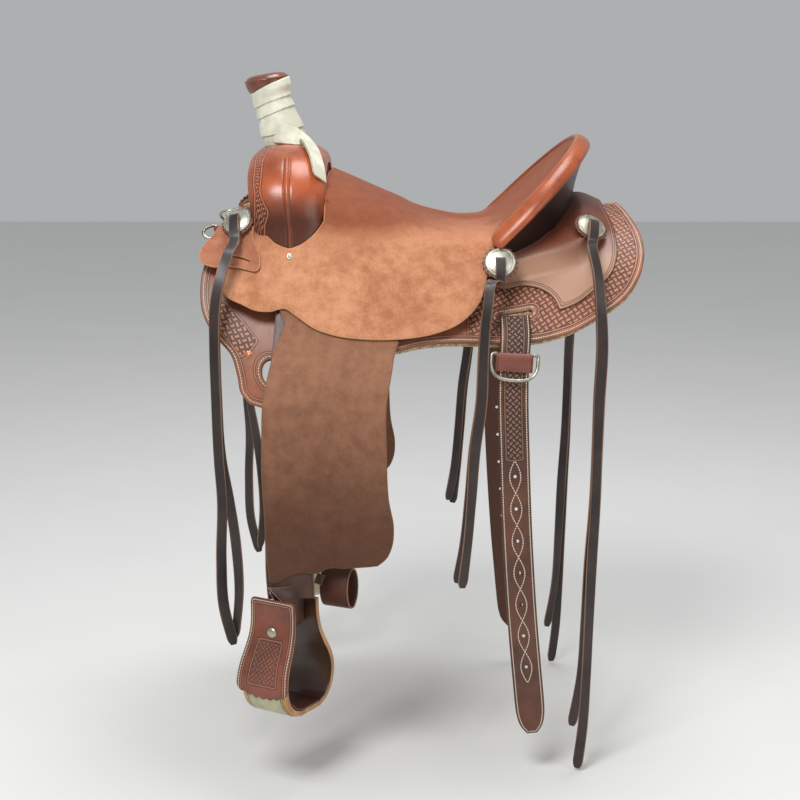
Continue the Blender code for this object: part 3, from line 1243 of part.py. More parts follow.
def stirrup(side_name, side):
    """Bent wooden stirrup with a metal band round it, a leather cover and the bolt with its roller."""
    frame = stirrup_band(f"stirrup_frame_{side_name}", -STIRRUP_WALL, 0, 0, "wood", side)
    place = bolt_matrix(side)
    hole = BOLT_RADIUS + 0.5 * MM
    drill = baked(revolve(f"bolt_hole_{side_name}", [(0, 0.045), (hole, 0.045), (hole, -0.045),
        (0, -0.045)], place, 16, "steel"))
    combine(frame, drill, "DIFFERENCE")
    stirrup_band(f"stirrup_binding_{side_name}", 0.5 * MM, 1.5 * MM, 0.0065, "steel", side)
    r, rod = ROLLER_RADIUS, BOLT_RADIUS
    half, end = 0.0240, 0.0335
    profile = [(0, -end), (rod, -end), (rod, -half), (r, -half), (r, half), (rod, half), (rod, end),
               (0, end)]
    baked(revolve(f"stirrup_bolt_{side_name}", profile, place, 20, "steel"))
    stirrup_cover(f"stirrup_cover_{side_name}", side)


def stirrup_cover(name, side):
    """Leather on the stirrup's outer side, with a scalloped lower edge."""
    profile = stirrup_outline(2.1 * MM)
    profile = profile[:len(profile) // 2]
    heights, widths = profile[::-1, 1], profile[::-1, 0]
    stations = list(zip(np.append(heights, COVER_TOP + 0.01), np.append(widths, widths[-1])))
    top = float(along(COVER_TOP, COVER_HALF))
    foot = float(along(COVER_FOOT, COVER_HALF))
    steps = np.linspace(-1, 1, 2 * 7 + 1)
    scallops = [(foot * u * 0.93, COVER_FOOT - 0.008 * (1 - u * u) - 0.004 * (i % 2)) for i,
                u in enumerate(steps)]
    right = [(float(along(z, COVER_HALF)), z) for z in np.linspace(COVER_TOP - 0.004, COVER_FOOT + 0.004,
             8)]
    loop = np.array([(-a, z) for a, z in right] + scallops + right[::-1] + [(top - 0.004, COVER_TOP),
                     (-top + 0.004, COVER_TOP)])
    flat = fill(loop, [], (0.018, 0.014))
    obj = sheet(name, flat, lambda e, z: in_stirrup(along(z, stations), e, z), side, COVER_LEATHER,
                "polished_leather")
    form = bmesh.new()
    form.from_mesh(obj.data)
    outwards = Vector((-math.sin(STIRRUP_TURN), math.cos(STIRRUP_TURN) * side, 0))
    if sum(f.normal.dot(outwards) for f in form.faces) < 0:
        bmesh.ops.reverse_faces(form, faces=form.faces)
    form.to_mesh(obj.data)
    form.free()


HOBBLE_FRONT = (-0.1135, 0.2355, -0.4800)
HOBBLE_TAB = [(-0.156, 0.2706, -0.4525), (-0.137, 0.2706, -0.4535), (-0.1225, 0.2610, -0.4620),
              (-0.1135, 0.2530, -0.4680), (-0.1040, 0.2520, -0.4700)]
HOBBLE_TURN = math.radians(25)
HOBBLE_WIDTH = 0.046
HOBBLE_HALF = (0.0190, 0.0310)


def hobble_strap(name, side):
    """Strap end buckled into a loop behind the stirrup leather and sewn to it with a tab."""
    turn = np.linspace(0, 2 * math.pi, 20, endpoint=False)
    start = np.array(HOBBLE_FRONT)
    axis = np.array([math.cos(HOBBLE_TURN), math.sin(HOBBLE_TURN), 0])
    wide = np.array([-math.sin(HOBBLE_TURN), math.cos(HOBBLE_TURN), 0])
    rings = []
    for reach, shrink in ((0, 0), (HOBBLE_WIDTH, 0), (HOBBLE_WIDTH, 3 * MM), (0, 3 * MM)):
        a, b = HOBBLE_HALF[0] - shrink, HOBBLE_HALF[1] - shrink
        rings.append(start + axis * reach + wide * (a * np.cos(turn))[:, None] + np.array([0, 0,
        1]) * (b * np.sin(turn))[:, None])
    loop = loft(name, rings, "dark_leather", side, closed=True)
    tab = loft(name + "_tab", strip_rings(HOBBLE_TAB, (0, 0, 1), 0.016, 2.4 * MM), "dark_leather", side)
    combine(loop, tab, "UNION")


def hang_on(pivot, name, pieces, carrier=None):
    """Parents pieces to an empty on their joint's axis; each stays where it is."""
    empty = bpy.data.objects.new(name, None)
    empty.empty_display_size = 0.02
    empty.location = pivot
    parts.objects.link(empty)
    bpy.context.view_layer.update()
    for obj in [bpy.data.objects[piece] for piece in pieces]:
        obj.parent = empty
        obj.matrix_parent_inverse = empty.matrix_world.inverted()
    if carrier:
        empty.parent = carrier
        empty.matrix_parent_inverse = carrier.matrix_world.inverted()
    return empty


def hang_moving_pieces(side_name, side):
    """Puts each moving piece on its joint: fender, stirrup, billet and the two dees."""
    def named(*pieces):
        return [f"{piece}_{side_name}" for piece in pieces]
    fender_pivot = on_hang(np.array(PIVOT_X), np.array(PIVOT_DROP), 0.0) * [1, side, 1]
    fender_hinge = hang_on(fender_pivot, f"fender_pivot_{side_name}", named("fender", "stirrup_leather",
                           "hobble_strap"))
    bolt = bolt_matrix(side).translation
    hang_on(bolt, f"stirrup_pivot_{side_name}", named("stirrup_frame", "stirrup_binding",
            "stirrup_cover", "stirrup_bolt"), fender_hinge)
    fold = [BILLET_PIVOT[0], BILLET_PIVOT[1] * side, BILLET_PIVOT[2]]
    billet_hinge = hang_on(fold, f"billet_pivot_{side_name}", named("flank_billet"))
    tunnel = keeper_matrix(side) @ Vector((0, KEEPER_HALF - 0.0055, KEEPER_PROUD / 2))
    hang_on(tunnel, f"billet_ring_pivot_{side_name}", named("flank_ring"), billet_hinge)
    chape = breast_ring_matrix(side) @ Vector((0, 0, CHAPE_TUNNEL + 1.5 * MM))
    hang_on(chape, f"collar_ring_pivot_{side_name}", named("breast_ring"))


def main():
    for side_name, side in SIDES.items():
        bar(f"tree_bar_{side_name}", side)
        skirt(f"skirt_{side_name}", side)
        sheepskin(f"sheepskin_{side_name}", side)
        rigging_plate(f"rigging_plate_{side_name}", side)
        rear_jockey(f"rear_jockey_{side_name}", side)
        front_jockey(f"front_jockey_{side_name}", side)
        for place, frame in concho_frames().items():
            rosette(f"rosette_{place}_{side_name}", frame, side)
            concho(f"concho_{place}_{side_name}", frame, side)
            saddle_string(f"string_{place}_{side_name}", frame, place, side)
        breast_chape(f"breast_chape_{side_name}", side)
        breast_ring(f"breast_ring_{side_name}", side)
        flank_billet(f"flank_billet_{side_name}", side)
        flank_ring(f"flank_ring_{side_name}", side)
        fender(f"fender_{side_name}", side)
        stirrup_leather(f"stirrup_leather_{side_name}", side)
        stirrup(side_name, side)
        hobble_strap(f"hobble_strap_{side_name}", side)
        hang_moving_pieces(side_name, side)
    tree_fork()
    fork_cover()
    horn_cap_cover()
    horn_wrap()
    tree_cantle()
    cantle_back_cover()
    cantle_roll()
    seat()


for old in list(bpy.data.objects):
    bpy.data.objects.remove(old)
parts = bpy.data.collections.new("western_saddle")
cutters = bpy.data.collections.new("cutters")
bpy.context.scene.collection.children.link(parts)
bpy.context.scene.collection.children.link(cutters)
main()
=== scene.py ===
"""The looks of an all-around western saddle: leather, fleece, rawhide, wood and metal.

Metres, +Z up, front of the saddle towards -X, its left (near) side towards -Y. Leather is cut flat
and laid on surfaces that are functions of two flat coordinates; the functions give the positive-Y
side, and a piece for the left side has its Y turned round. Every new piece carries the flat
coordinates, the distance from its cut edge and the distance run along that edge, and the finishes
draw stitching, bead lines and stamping from them.
"""
import json
import math

import bpy
import numpy as np
from mathutils import Matrix, Vector
from mathutils.geometry import delaunay_2d_cdt

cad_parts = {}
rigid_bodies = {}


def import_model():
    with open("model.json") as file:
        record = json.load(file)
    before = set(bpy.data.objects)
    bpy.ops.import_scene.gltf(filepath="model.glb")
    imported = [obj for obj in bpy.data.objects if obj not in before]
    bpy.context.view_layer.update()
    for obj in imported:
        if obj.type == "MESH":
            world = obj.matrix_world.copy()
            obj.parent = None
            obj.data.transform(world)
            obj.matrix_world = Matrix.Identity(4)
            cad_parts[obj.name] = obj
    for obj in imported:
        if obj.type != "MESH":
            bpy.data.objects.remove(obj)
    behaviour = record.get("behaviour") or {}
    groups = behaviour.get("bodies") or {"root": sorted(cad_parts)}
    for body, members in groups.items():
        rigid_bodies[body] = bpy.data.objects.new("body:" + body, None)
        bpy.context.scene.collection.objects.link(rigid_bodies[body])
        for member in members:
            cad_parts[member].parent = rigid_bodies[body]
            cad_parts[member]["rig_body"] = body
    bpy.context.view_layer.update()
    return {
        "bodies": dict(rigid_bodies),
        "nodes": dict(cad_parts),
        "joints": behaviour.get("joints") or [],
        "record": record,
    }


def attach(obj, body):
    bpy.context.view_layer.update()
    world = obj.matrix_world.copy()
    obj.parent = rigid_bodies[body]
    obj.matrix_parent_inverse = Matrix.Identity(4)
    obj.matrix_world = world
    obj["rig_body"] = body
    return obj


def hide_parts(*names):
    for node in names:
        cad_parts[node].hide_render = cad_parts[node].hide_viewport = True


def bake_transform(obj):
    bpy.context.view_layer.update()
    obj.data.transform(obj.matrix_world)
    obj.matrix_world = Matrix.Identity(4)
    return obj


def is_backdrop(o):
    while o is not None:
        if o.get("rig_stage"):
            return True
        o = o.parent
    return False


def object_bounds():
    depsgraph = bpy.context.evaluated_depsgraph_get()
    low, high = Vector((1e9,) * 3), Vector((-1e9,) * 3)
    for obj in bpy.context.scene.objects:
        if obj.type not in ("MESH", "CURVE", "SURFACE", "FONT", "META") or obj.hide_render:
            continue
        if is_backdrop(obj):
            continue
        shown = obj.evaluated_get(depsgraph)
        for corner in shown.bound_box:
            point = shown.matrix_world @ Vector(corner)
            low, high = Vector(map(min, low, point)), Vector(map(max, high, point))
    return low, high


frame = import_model()

# Sizes: the solids' own, but for the foot of FORK_PATH, the front of FLAP_EDGE and the start of the
# hobble, which follow the photograph more closely

MM = 0.001
SIDES = {"left": -1, "right": 1}
GAP = 0.6 * MM                # free space between one leather layer and the next
RIDGE_HEIGHT = [(-0.3, 0.112), (-0.15, 0.062), (0, 0.026), (0.12, 0.0205), (0.24, 0.044),
                (0.3, 0.0585), (0.37, 0.064)]
CROWN_SLOPE = [(-0.3, 31), (-0.15, 22), (0, 12), (0.15, 10), (0.37, 12)]
SIDE_RADIUS = [(-0.3, 0.425), (-0.15, 0.395), (0, 0.353), (0.1, 0.343), (0.2, 0.32), (0.3, 0.297),
               (0.37, 0.29)]
CROWN_RADIUS = 0.06
SKIRT_LEATHER = 4.5 * MM
FLEECE = 13 * MM
PLATE_LEATHER = 3.5 * MM
JOCKEY_LEATHER = 3.5 * MM
SEAT_LEATHER = 4.5 * MM
FENDER_LEATHER = 3.5 * MM
STRAP_LEATHER = 3.5 * MM
COVER_LEATHER = 3.0 * MM
BAR_THICKNESS = 21 * MM
BAR_FOOT = [(-0.225, 0.16), (-0.2, 0.185), (-0.12, 0.18), (-0.03, 0.155), (0.08, 0.15),
            (0.18, 0.163), (0.26, 0.158), (0.3, 0.115)]
BAR_BEVEL = 0.03
FLAP_SLOPE = [(-0.3, 48), (-0.25, 48), (-0.18, 62), (0.15, 62)]
FLAP_DISTANCE = [(-0.3, 0.12), (-0.25, 0.12), (-0.18, 0.1635), (0.15, 0.1635)]
SHOULDER = [(-0.3, 0.043), (-0.245, 0.043), (-0.2, 0.01), (-0.11, 0.019), (-0.05, 0.04), (0, 0.058),
            (0.06, 0.072), (0.11, 0.078), (0.125, 0.073), (0.142, 0.05)]
SEAT_LINE = [(-0.12, 0.12), (-0.108, 0.116), (-0.086, 0.107), (-0.0455, 0.089), (-0.023, 0.079),
             (0, 0.069), (0.0224, 0.057), (0.062, 0.0455),
             (0.093, 0.0405), (0.122, 0.0415), (0.142, 0.047), (0.18, 0.068), (0.215, 0.096),
             (0.245, 0.129), (0.268, 0.1616)]
SEAT_HALF = 0.2             # flat width given to half of the seat between middle and shoulder
RIM_X = 0.142
RIM_DEPTH = 0.126
RIM_WIDTH = 0.1679
RIM_FOOT = 0.0326
RIM_RISE = 0.129
ROLL_FOOT = (0.152, 0.19, 0.016)      # X, Y and Z of the roll's outer edge at its end
ROLL_TOP = (0.2895, 0.0, 0.1495)       # and at the middle of the cantle
ROLL_THICKNESS = 13 * MM
HANG_DISTANCE = 0.15
HANG_BEND = 0.26
HANG_RADIUS = 0.12
HANG_SLOPE = math.radians(88)
STIRRUP_CENTRE = (-0.163, 0.279)
STIRRUP_TURN = math.radians(31)
BOLT_HEIGHT = -0.52
BOLT_RADIUS = 4.5 * MM
ROLLER_RADIUS = 9.0 * MM
STIRRUP_WALL = 8.5 * MM
CONCHO_HEIGHT = 5.0 * MM
ROSETTE_RADIUS = 26.5 * MM
ROSETTE_LEATHER = 3.0 * MM
STRING_WIDTH = 14 * MM
STRING_LEATHER = 3.0 * MM
HORN_BASE = (-0.1715, 0, 0.14)
HORN_LEAN = math.radians(16.5)
HORN_NECK = 20 * MM
HORN_HEIGHT = 0.112
HORN_CAP_RADIUS = 30 * MM
BILLET_WIDTH = 0.044
BILLET_LEATHER = 5.0 * MM
BILLET_TOP = (0.1655, 0.2091, -0.083)
BILLET_TIP = (0.1975, -0.707)
HOLE_RADIUS = 2.4 * MM
FIRST_HOLE = 0.24            # run down the billet to its first hole
HOLE_PITCH = 0.048514
HOLE_COUNT = 7
FORK_PATH = [  # share of the way, Y, Z, half length along X, half thickness
    (0.0, 0.0, 0.128, 0.054, 0.024), (0.3, 0.055, 0.1255, 0.055, 0.024),
    (0.5, 0.1, 0.112, 0.0555, 0.025), (0.68, 0.131, 0.085, 0.054, 0.0255),
    (0.82, 0.1425, 0.058, 0.051, 0.0235), (0.93, 0.148, 0.037, 0.049, 0.0195),
    (1.0, 0.165, -0.0025, 0.026, 0.01)]
FORK_X = [(0, -0.1665), (0.5, -0.1675), (0.82, -0.1645), (1.0, -0.161)]
WRAP_TAIL = [  # share of the fork's arch and degrees round it
    (0.31, 33), (0.4, 39), (0.48, 45), (0.54, 49), (0.6, 53), (0.62, 54)]
ROLL_END = math.radians(83)   # where the rear jockeys' inner edge ends
ROLL_REACH = math.radians(90)
SKIRT_REAR = [(0.335, 0.002), (0.3402, 0.0238), (0.3503, 0.07), (0.3587, 0.1118), (0.3607, 0.156),
              (0.3516, 0.195), (0.3327, 0.2285),
              (0.3068, 0.2516), (0.2757, 0.268), (0.2391, 0.2794), (0.203, 0.2832), (0.167, 0.28),
              (0.115, 0.2765), (0.0475, 0.2793), (0.0187, 0.2849), (0, 0.291)]
SKIRT_LOBE = [(0, 0.291), (-0.04, 0.305), (-0.08, 0.33), (-0.12, 0.362), (-0.16, 0.388),
              (-0.198, 0.4002), (-0.2172, 0.3985),
              (-0.2289, 0.3867), (-0.2349, 0.362), (-0.2454, 0.3324), (-0.2617, 0.3171),
              (-0.2813, 0.2935), (-0.288, 0.277), (-0.2914, 0.25),
              (-0.2912, 0.2293), (-0.285, 0.1928), (-0.2765, 0.1582), (-0.2637, 0.1228),
              (-0.2534, 0.0954), (-0.2442, 0.0751)]
SKIRT_TOP = [(-0.2442, 0.0751), (-0.215, 0.052), (-0.12, 0.038), (0, 0.034), (0.15, 0.026),
             (0.22, 0.012), (0.26, 0.002)]
RIG_HOLE = (-0.184, 0.3468, 0.015, 0.019)      # X, way over the curve, half width and height
BILLET_SLOT = (0.1665, 0.233, 0.0245, 0.0035)
FLEECE_FRONT = [(0, 0.291), (-0.06, 0.3), (-0.14, 0.305), (-0.22, 0.306), (-0.272, 0.302)]
FLEECE_NOSE = [(-0.272, 0.302), (-0.286, 0.278), (-0.2912, 0.25), (-0.2905, 0.2293), (-0.285, 0.1928),
               (-0.2765, 0.1582), (-0.2637, 0.1228), (-0.2534, 0.0954), (-0.2442, 0.0751)]
RIG_PLATE = [(-0.255, 0.313), (-0.2, 0.3135), (-0.15, 0.3125), (-0.1, 0.3115)]
RIG_PLATE_FOOT = [(-0.1, 0.3115), (-0.105, 0.338), (-0.13, 0.362), (-0.165, 0.382), (-0.198, 0.3935),
                  (-0.2145, 0.3925), (-0.223, 0.3835), (-0.229, 0.36), (-0.24, 0.329), (-0.255, 0.313)]
JOCKEY_FIELD = [(0.133, 0.178), (0.1506, 0.1854), (0.1798, 0.186), (0.2055, 0.1993), (0.2221, 0.2182),
                (0.2313, 0.2416)]
JOCKEY_REAR = [(0.2313, 0.2416), (0.2591, 0.234), (0.2846, 0.2175), (0.3077, 0.1955), (0.3187, 0.165),
               (0.3212, 0.1165), (0.3175, 0.0766), (0.311, 0.038), (0.309, 0.003)]
FLAP_EDGE = [(-0.2618, 0.15), (-0.26, 0.166), (-0.247, 0.184), (-0.218, 0.186), (-0.186, 0.172),
             (-0.1667, 0.167), (-0.1498, 0.1782), (-0.1217, 0.1979), (-0.0901, 0.2085),
             (-0.0486, 0.2136), (-0.0071, 0.2136), (0.0272, 0.21), (0.0472, 0.2055),
             (0.0903, 0.1858), (0.1151, 0.1569), (0.1241, 0.1263), (0.1285, 0.108)]
FLAP_CORNER = [(0.1285, 0.108), (0.133, 0.092), (0.1395, 0.072)]
NOTCH = [(-0.1115, 0.03), (-0.1154, 0.037), (-0.1302, 0.056), (-0.1496, 0.07), (-0.161, 0.0735),
         (-0.1728, 0.07), (-0.1925, 0.0575), (-0.207, 0.043), (-0.215, 0.027)]
EAR_FRONT = [(-0.215, 0.027), (-0.23, 0.044), (-0.25, 0.06), (-0.2618, 0.09), (-0.2618, 0.15)]
FRONT_JOCKEY = [(-0.2135, 0.047), (-0.214, 0.07), (-0.2035, 0.098), (-0.2025, 0.112),
                (-0.2085, 0.123), (-0.2245, 0.13), (-0.25, 0.133), (-0.2765, 0.132), (-0.288, 0.126),
                (-0.2935, 0.112), (-0.287, 0.092), (-0.278, 0.08), (-0.27, 0.066),
                (-0.256, 0.052), (-0.238, 0.042), (-0.223, 0.041), (-0.2135, 0.047)]
JOCKEY_SLOT = [(-0.256, 0.113), (-0.218, 0.112), (-0.218, 0.1155), (-0.256, 0.1165)]
FRONT_LIFT = 1.8 * MM
STRING_LAY = {
    "front": ([(-0.248, 0.206, 0.006), (-0.2585, 0.229, -0.03), (-0.265, 0.238, -0.07),
               (-0.2662, 0.24, -0.115), (-0.2653, 0.2405, -0.201),
               (-0.263, 0.241, -0.29), (-0.2596, 0.242, -0.35), (-0.2622, 0.243, -0.44),
               (-0.26, 0.243, -0.51), (-0.2462, 0.243, -0.5705)],
              [(-0.248, 0.201, 0.002), (-0.2585, 0.224, -0.034), (-0.2645, 0.233, -0.072),
               (-0.2655, 0.235, -0.115), (-0.264, 0.2355, -0.201),
               (-0.259, 0.236, -0.29), (-0.2494, 0.237, -0.35), (-0.2405, 0.238, -0.42),
               (-0.2374, 0.238, -0.49), (-0.244, 0.238, -0.56)]),
    "middle": ([(0.133, 0.227, -0.03), (0.1265, 0.24, -0.06), (0.1225, 0.2445, -0.095),
                (0.1204, 0.246, -0.135), (0.1182, 0.246, -0.2012),
                (0.1088, 0.246, -0.2752), (0.104, 0.246, -0.35), (0.0995, 0.246, -0.41),
                (0.0914, 0.246, -0.4823)],
               [(0.133, 0.222, -0.032), (0.1265, 0.235, -0.062), (0.1215, 0.2395, -0.095),
                (0.119, 0.241, -0.135), (0.116, 0.241, -0.2012),
                (0.106, 0.241, -0.2752), (0.1005, 0.241, -0.35), (0.094, 0.241, -0.42),
                (0.0839, 0.241, -0.4762)]),
    "rear": ([(0.279, 0.18, 0.016), (0.2845, 0.213, -0.02), (0.288, 0.228, -0.06),
              (0.2915, 0.233, -0.1216), (0.2889, 0.235, -0.2022),
              (0.2877, 0.235, -0.2763), (0.2864, 0.235, -0.3513), (0.2826, 0.235, -0.4425),
              (0.2801, 0.235, -0.5349), (0.2776, 0.235, -0.6287),
              (0.274, 0.235, -0.705), (0.267, 0.235, -0.7687)],
             [(0.279, 0.175, 0.012), (0.284, 0.208, -0.024), (0.287, 0.223, -0.064),
              (0.29, 0.228, -0.1216), (0.287, 0.23, -0.2022),
              (0.2855, 0.23, -0.2763), (0.2835, 0.23, -0.3513), (0.279, 0.23, -0.4425),
              (0.2755, 0.23, -0.5349), (0.27, 0.23, -0.6287), (0.2582, 0.23, -0.7031)]),
}
RING_FRAME = (-0.27, 0.145)
CHAPE_TUNNEL = 3.1 * MM
RING_WIRE = 2.2 * MM
CHAPE_LENGTH = 0.03
KEEPER_HALF = 0.014
KEEPER_PROUD = 9.0 * MM
DEE_WIRE = 2.5 * MM
FENDER_TOP = [(-0.1665, 0.1898), (-0.176, 0.156), (-0.176, 0.122), (-0.169, 0.106)]
FENDER_CREST = [(-0.169, 0.106), (-0.111, 0.106)]
FENDER_SHOULDER = [(-0.111, 0.106), (-0.095, 0.124), (-0.06, 0.156), (-0.025, 0.182), (-0.0014, 0.2155)]
FENDER_REAR = [(-0.0014, 0.2155), (-0.0071, 0.2336), (-0.0114, 0.2619), (-0.0185, 0.3052),
               (-0.0186, 0.3698), (-0.0158, 0.4429), (-0.0086, 0.4871), (-0.0105, 0.51),
               (-0.019, 0.53), (-0.032, 0.5415)]
FENDER_FOOT = [(-0.032, 0.5415), (-0.052, 0.5434), (-0.0802, 0.5449), (-0.104, 0.5449),
               (-0.1199, 0.5523), (-0.1416, 0.5509), (-0.1575, 0.5546), (-0.175, 0.5643),
               (-0.1837, 0.5673), (-0.1895, 0.5643)]
FENDER_FRONT = [(-0.1895, 0.5643), (-0.1907, 0.5494), (-0.1934, 0.5285), (-0.1955, 0.4723),
                (-0.1989, 0.3989), (-0.1983, 0.3553), (-0.1963, 0.3052), (-0.1868, 0.2561),
                (-0.1789, 0.2231), (-0.1665, 0.1898)]
STRAP_WIDTH = 0.07
STRAP_TWIST = [  # height, degrees turned, width and the way between both layers
    (-0.43, 0, 0.07, 0.0046), (-0.445, 0, 0.07, 0.0046), (-0.461, 0, 0.0695, 0.0048),
    (-0.47, 10, 0.064, 0.006), (-0.478, 24, 0.0555, 0.0085), (-0.485, 38, 0.0465, 0.012),
    (-0.491, 50, 0.0435, 0.016), (-0.499, 57, 0.0435, 0.0195), (-0.508, 59, 0.0435, 0.022)]
STRAP_LINE = [(0.108, -0.14), (0.25, -0.15), (0.4, -0.16), (0.6, -0.16)]
STIRRUP_SIDE = [(0.0345, -0.49), (0.0345, -0.515), (0.0385, -0.535), (0.048, -0.556),
                (0.059, -0.577), (0.064, -0.597),
                (0.063, -0.615), (0.056, -0.632), (0.043, -0.6455), (0.025, -0.653)]
STIRRUP_HALF_DEPTH = [(-0.66, 0.038), (-0.6, 0.038), (-0.53, 0.033), (-0.49, 0.031)]
COVER_TOP = -0.487
COVER_FOOT = -0.606
COVER_HALF = [(-0.61, 0.04), (-0.575, 0.037), (-0.53, 0.035), (-0.487, 0.0345)]
HOBBLE_FRONT = (-0.1105, 0.2355, -0.48)
HOBBLE_TAB = [(-0.1225, 0.261, -0.462), (-0.1135, 0.253, -0.468), (-0.104, 0.252, -0.47)]
HOBBLE_TURN = math.radians(25)
HOBBLE_WIDTH = 0.046
HOBBLE_HALF = (0.019, 0.031)

# Sizes of what only the looks have

EDGE_STEP = 0.003             # between points along a cut edge
FINE_PITCH = 0.0042           # between points inside tooled and rough leather
ROSETTE_SCALLOPS = 20
CAP_TURN = 0.12               # radians that the horn's cap is turned back from its solid
CAP_RISE = 1.0 * MM
WRAP_FOOT = 0.0335            # radius of the wrap where it meets the fork
WRAP_LAYER = 2.3 * MM
FORK_OVAL = (-0.1665, 0.0575, 0.127, 0.0275)    # the fork's top: middle and half in X, then in Z
ROLL_RUN_ON = 0.012           # how far the roll's ends run on past the rim
KEEPER_STRAP = (0.053, 2.3 * MM)
CHAPE_STRAP = (0.017, 2.4 * MM)
STRING_FOLD = 5.0 * MM        # between both layers of a string over its concho
STRING_BEND = ((0, 0, -0.02), (0, 0, -0.36))     # two places along a front string, passed on in its bend
CORD_POINTS = 38
CAMERA_AIM = (0, 0, -0.25)
CAMERA_DISTANCE = 2.8
CAMERA_RISE = math.radians(11.5)
CAMERA_LENS = 79.7
SKY_STRENGTH = 0.5
LAMPS = [  # name, place, power in watts and size
    ("key", (-0.9, -2.3, 2.5), 80, 1.2), ("fill", (2.2, -2.4, 1.1), 18, 1.8),
    ("top", (0.3, 0.3, 2.4), 34, 1.2)]
FLOOR_DROP = 0.004
FLOOR_CORNERS = [(-6, -6), (6, -6), (6, 8), (-6, 8)]


# Curves and surfaces, the same as the solids' own

def along(x, stations):
    """Smooth value at x through (x, value) stations, with no overshoot between them."""
    knots, values = np.array(stations, float).T
    gaps = np.diff(knots)
    rises = np.diff(values) / gaps
    same = rises[:-1] * rises[1:] > 0
    mean = 2 * rises[:-1] * rises[1:] / np.where(same, rises[:-1] + rises[1:], 1)
    slopes = np.concatenate(([rises[0]], np.where(same, mean, 0), [rises[-1]]))
    x = np.clip(np.asarray(x, float), knots[0], knots[-1])
    i = np.clip(np.searchsorted(knots, x, side="right") - 1, 0, len(gaps) - 1)
    t = (x - knots[i]) / gaps[i]
    start = (1 + 2 * t) * (1 - t) ** 2 * values[i] + t * (1 - t) ** 2 * gaps[i] * slopes[i]
    end = t * t * (3 - 2 * t) * values[i + 1] + t * t * (t - 1) * gaps[i] * slopes[i + 1]
    return start + end


def unit(vectors):
    """Vectors brought to length 1."""
    return vectors / np.linalg.norm(vectors, axis=-1, keepdims=True)


def run_along(path):
    """Distance along a path from its first point to each."""
    return np.concatenate(([0], np.cumsum(np.linalg.norm(np.diff(path, axis=0), axis=1))))


def full_turn(count):
    """Angles spaced evenly round a circle."""
    return np.linspace(0, 2 * math.pi, count, endpoint=False)


def squared(wave, power):
    """A wave between -1 and 1 that keeps nearer to its ends for a lower power."""
    return np.sign(wave) * np.abs(wave) ** power


def smooth_step(x):
    """0 below 0 and 1 above 1, smooth between."""
    x = np.clip(x, 0, 1)
    return x * x * (3 - 2 * x)


def smooth_run(points, step):
    """Points about step apart on a smooth curve through the given ones; two give a straight."""
    points = np.array(points, float)
    spans = np.linalg.norm(np.diff(points, axis=0), axis=1)
    length = np.concatenate(([0], np.cumsum(spans)))
    slopes = np.gradient(points, length, axis=0)
    count = max(1, round(length[-1] / step))
    at = np.linspace(0, length[-1], count + 1)
    i = np.clip(np.searchsorted(length, at, side="right") - 1, 0, len(spans) - 1)
    t = ((at - length[i]) / spans[i])[:, None]
    gap = spans[i][:, None]
    start = (1 + 2 * t) * (1 - t) ** 2 * points[i] + t * (1 - t) ** 2 * gap * slopes[i]
    end = t * t * (3 - 2 * t) * points[i + 1] + t * t * (t - 1) * gap * slopes[i + 1]
    return start + end


def outline(runs, step):
    """Closed flat outline: smooth runs joined at corners, each from where the last one ended."""
    return np.concatenate([smooth_run(run, step)[:-1] for run in runs])


def side_arc(x):
    """Slope at the crown's edge, radius of the side below it and height of the ridge."""
    slope = np.radians(along(x, CROWN_SLOPE))
    radius = along(x, SIDE_RADIUS)
    ridge = along(x, RIDGE_HEIGHT)
    return slope, radius, ridge


def on_back(x, s, lift):
    """The skirts' outer face, lift proud of it: x along the saddle, s outwards over the curve."""
    slope, radius, ridge = side_arc(x)
    crown = CROWN_RADIUS * slope
    top = s < crown
    angle = np.where(top, s / CROWN_RADIUS, slope + (s - crown) / radius)
    reach = np.where(top, CROWN_RADIUS, radius)
    centre_y = (CROWN_RADIUS - reach) * np.sin(slope)
    centre_z = ridge - CROWN_RADIUS + (CROWN_RADIUS - reach) * np.cos(slope)
    return np.stack([x + 0 * s, centre_y + (reach + lift) * np.sin(angle),
                    centre_z + (reach + lift) * np.cos(angle)], -1)


def shelf_rise(x, s, spread=0.0):
    """From 0 beyond the bar's edge and ends, moved outwards by spread, to 1 up to the ridge."""
    outer = (along(x, BAR_FOOT) - s + spread) / BAR_BEVEL
    front = (x + 0.23 + spread) / 0.05
    rear = (0.305 - x + spread) / 0.055
    return smooth_step(outer) * smooth_step(front) * smooth_step(rear)


def on_flap(x, v, lift):
    """The seat's flap: v down its slope from the foot of the perpendicular from the origin."""
    slope = np.radians(along(x, FLAP_SLOPE))
    distance = along(x, FLAP_DISTANCE) + lift
    y = distance * np.sin(slope) + v * np.cos(slope)
    z = distance * np.cos(slope) - v * np.sin(slope)
    return np.stack([x + 0 * v, y, z], -1)


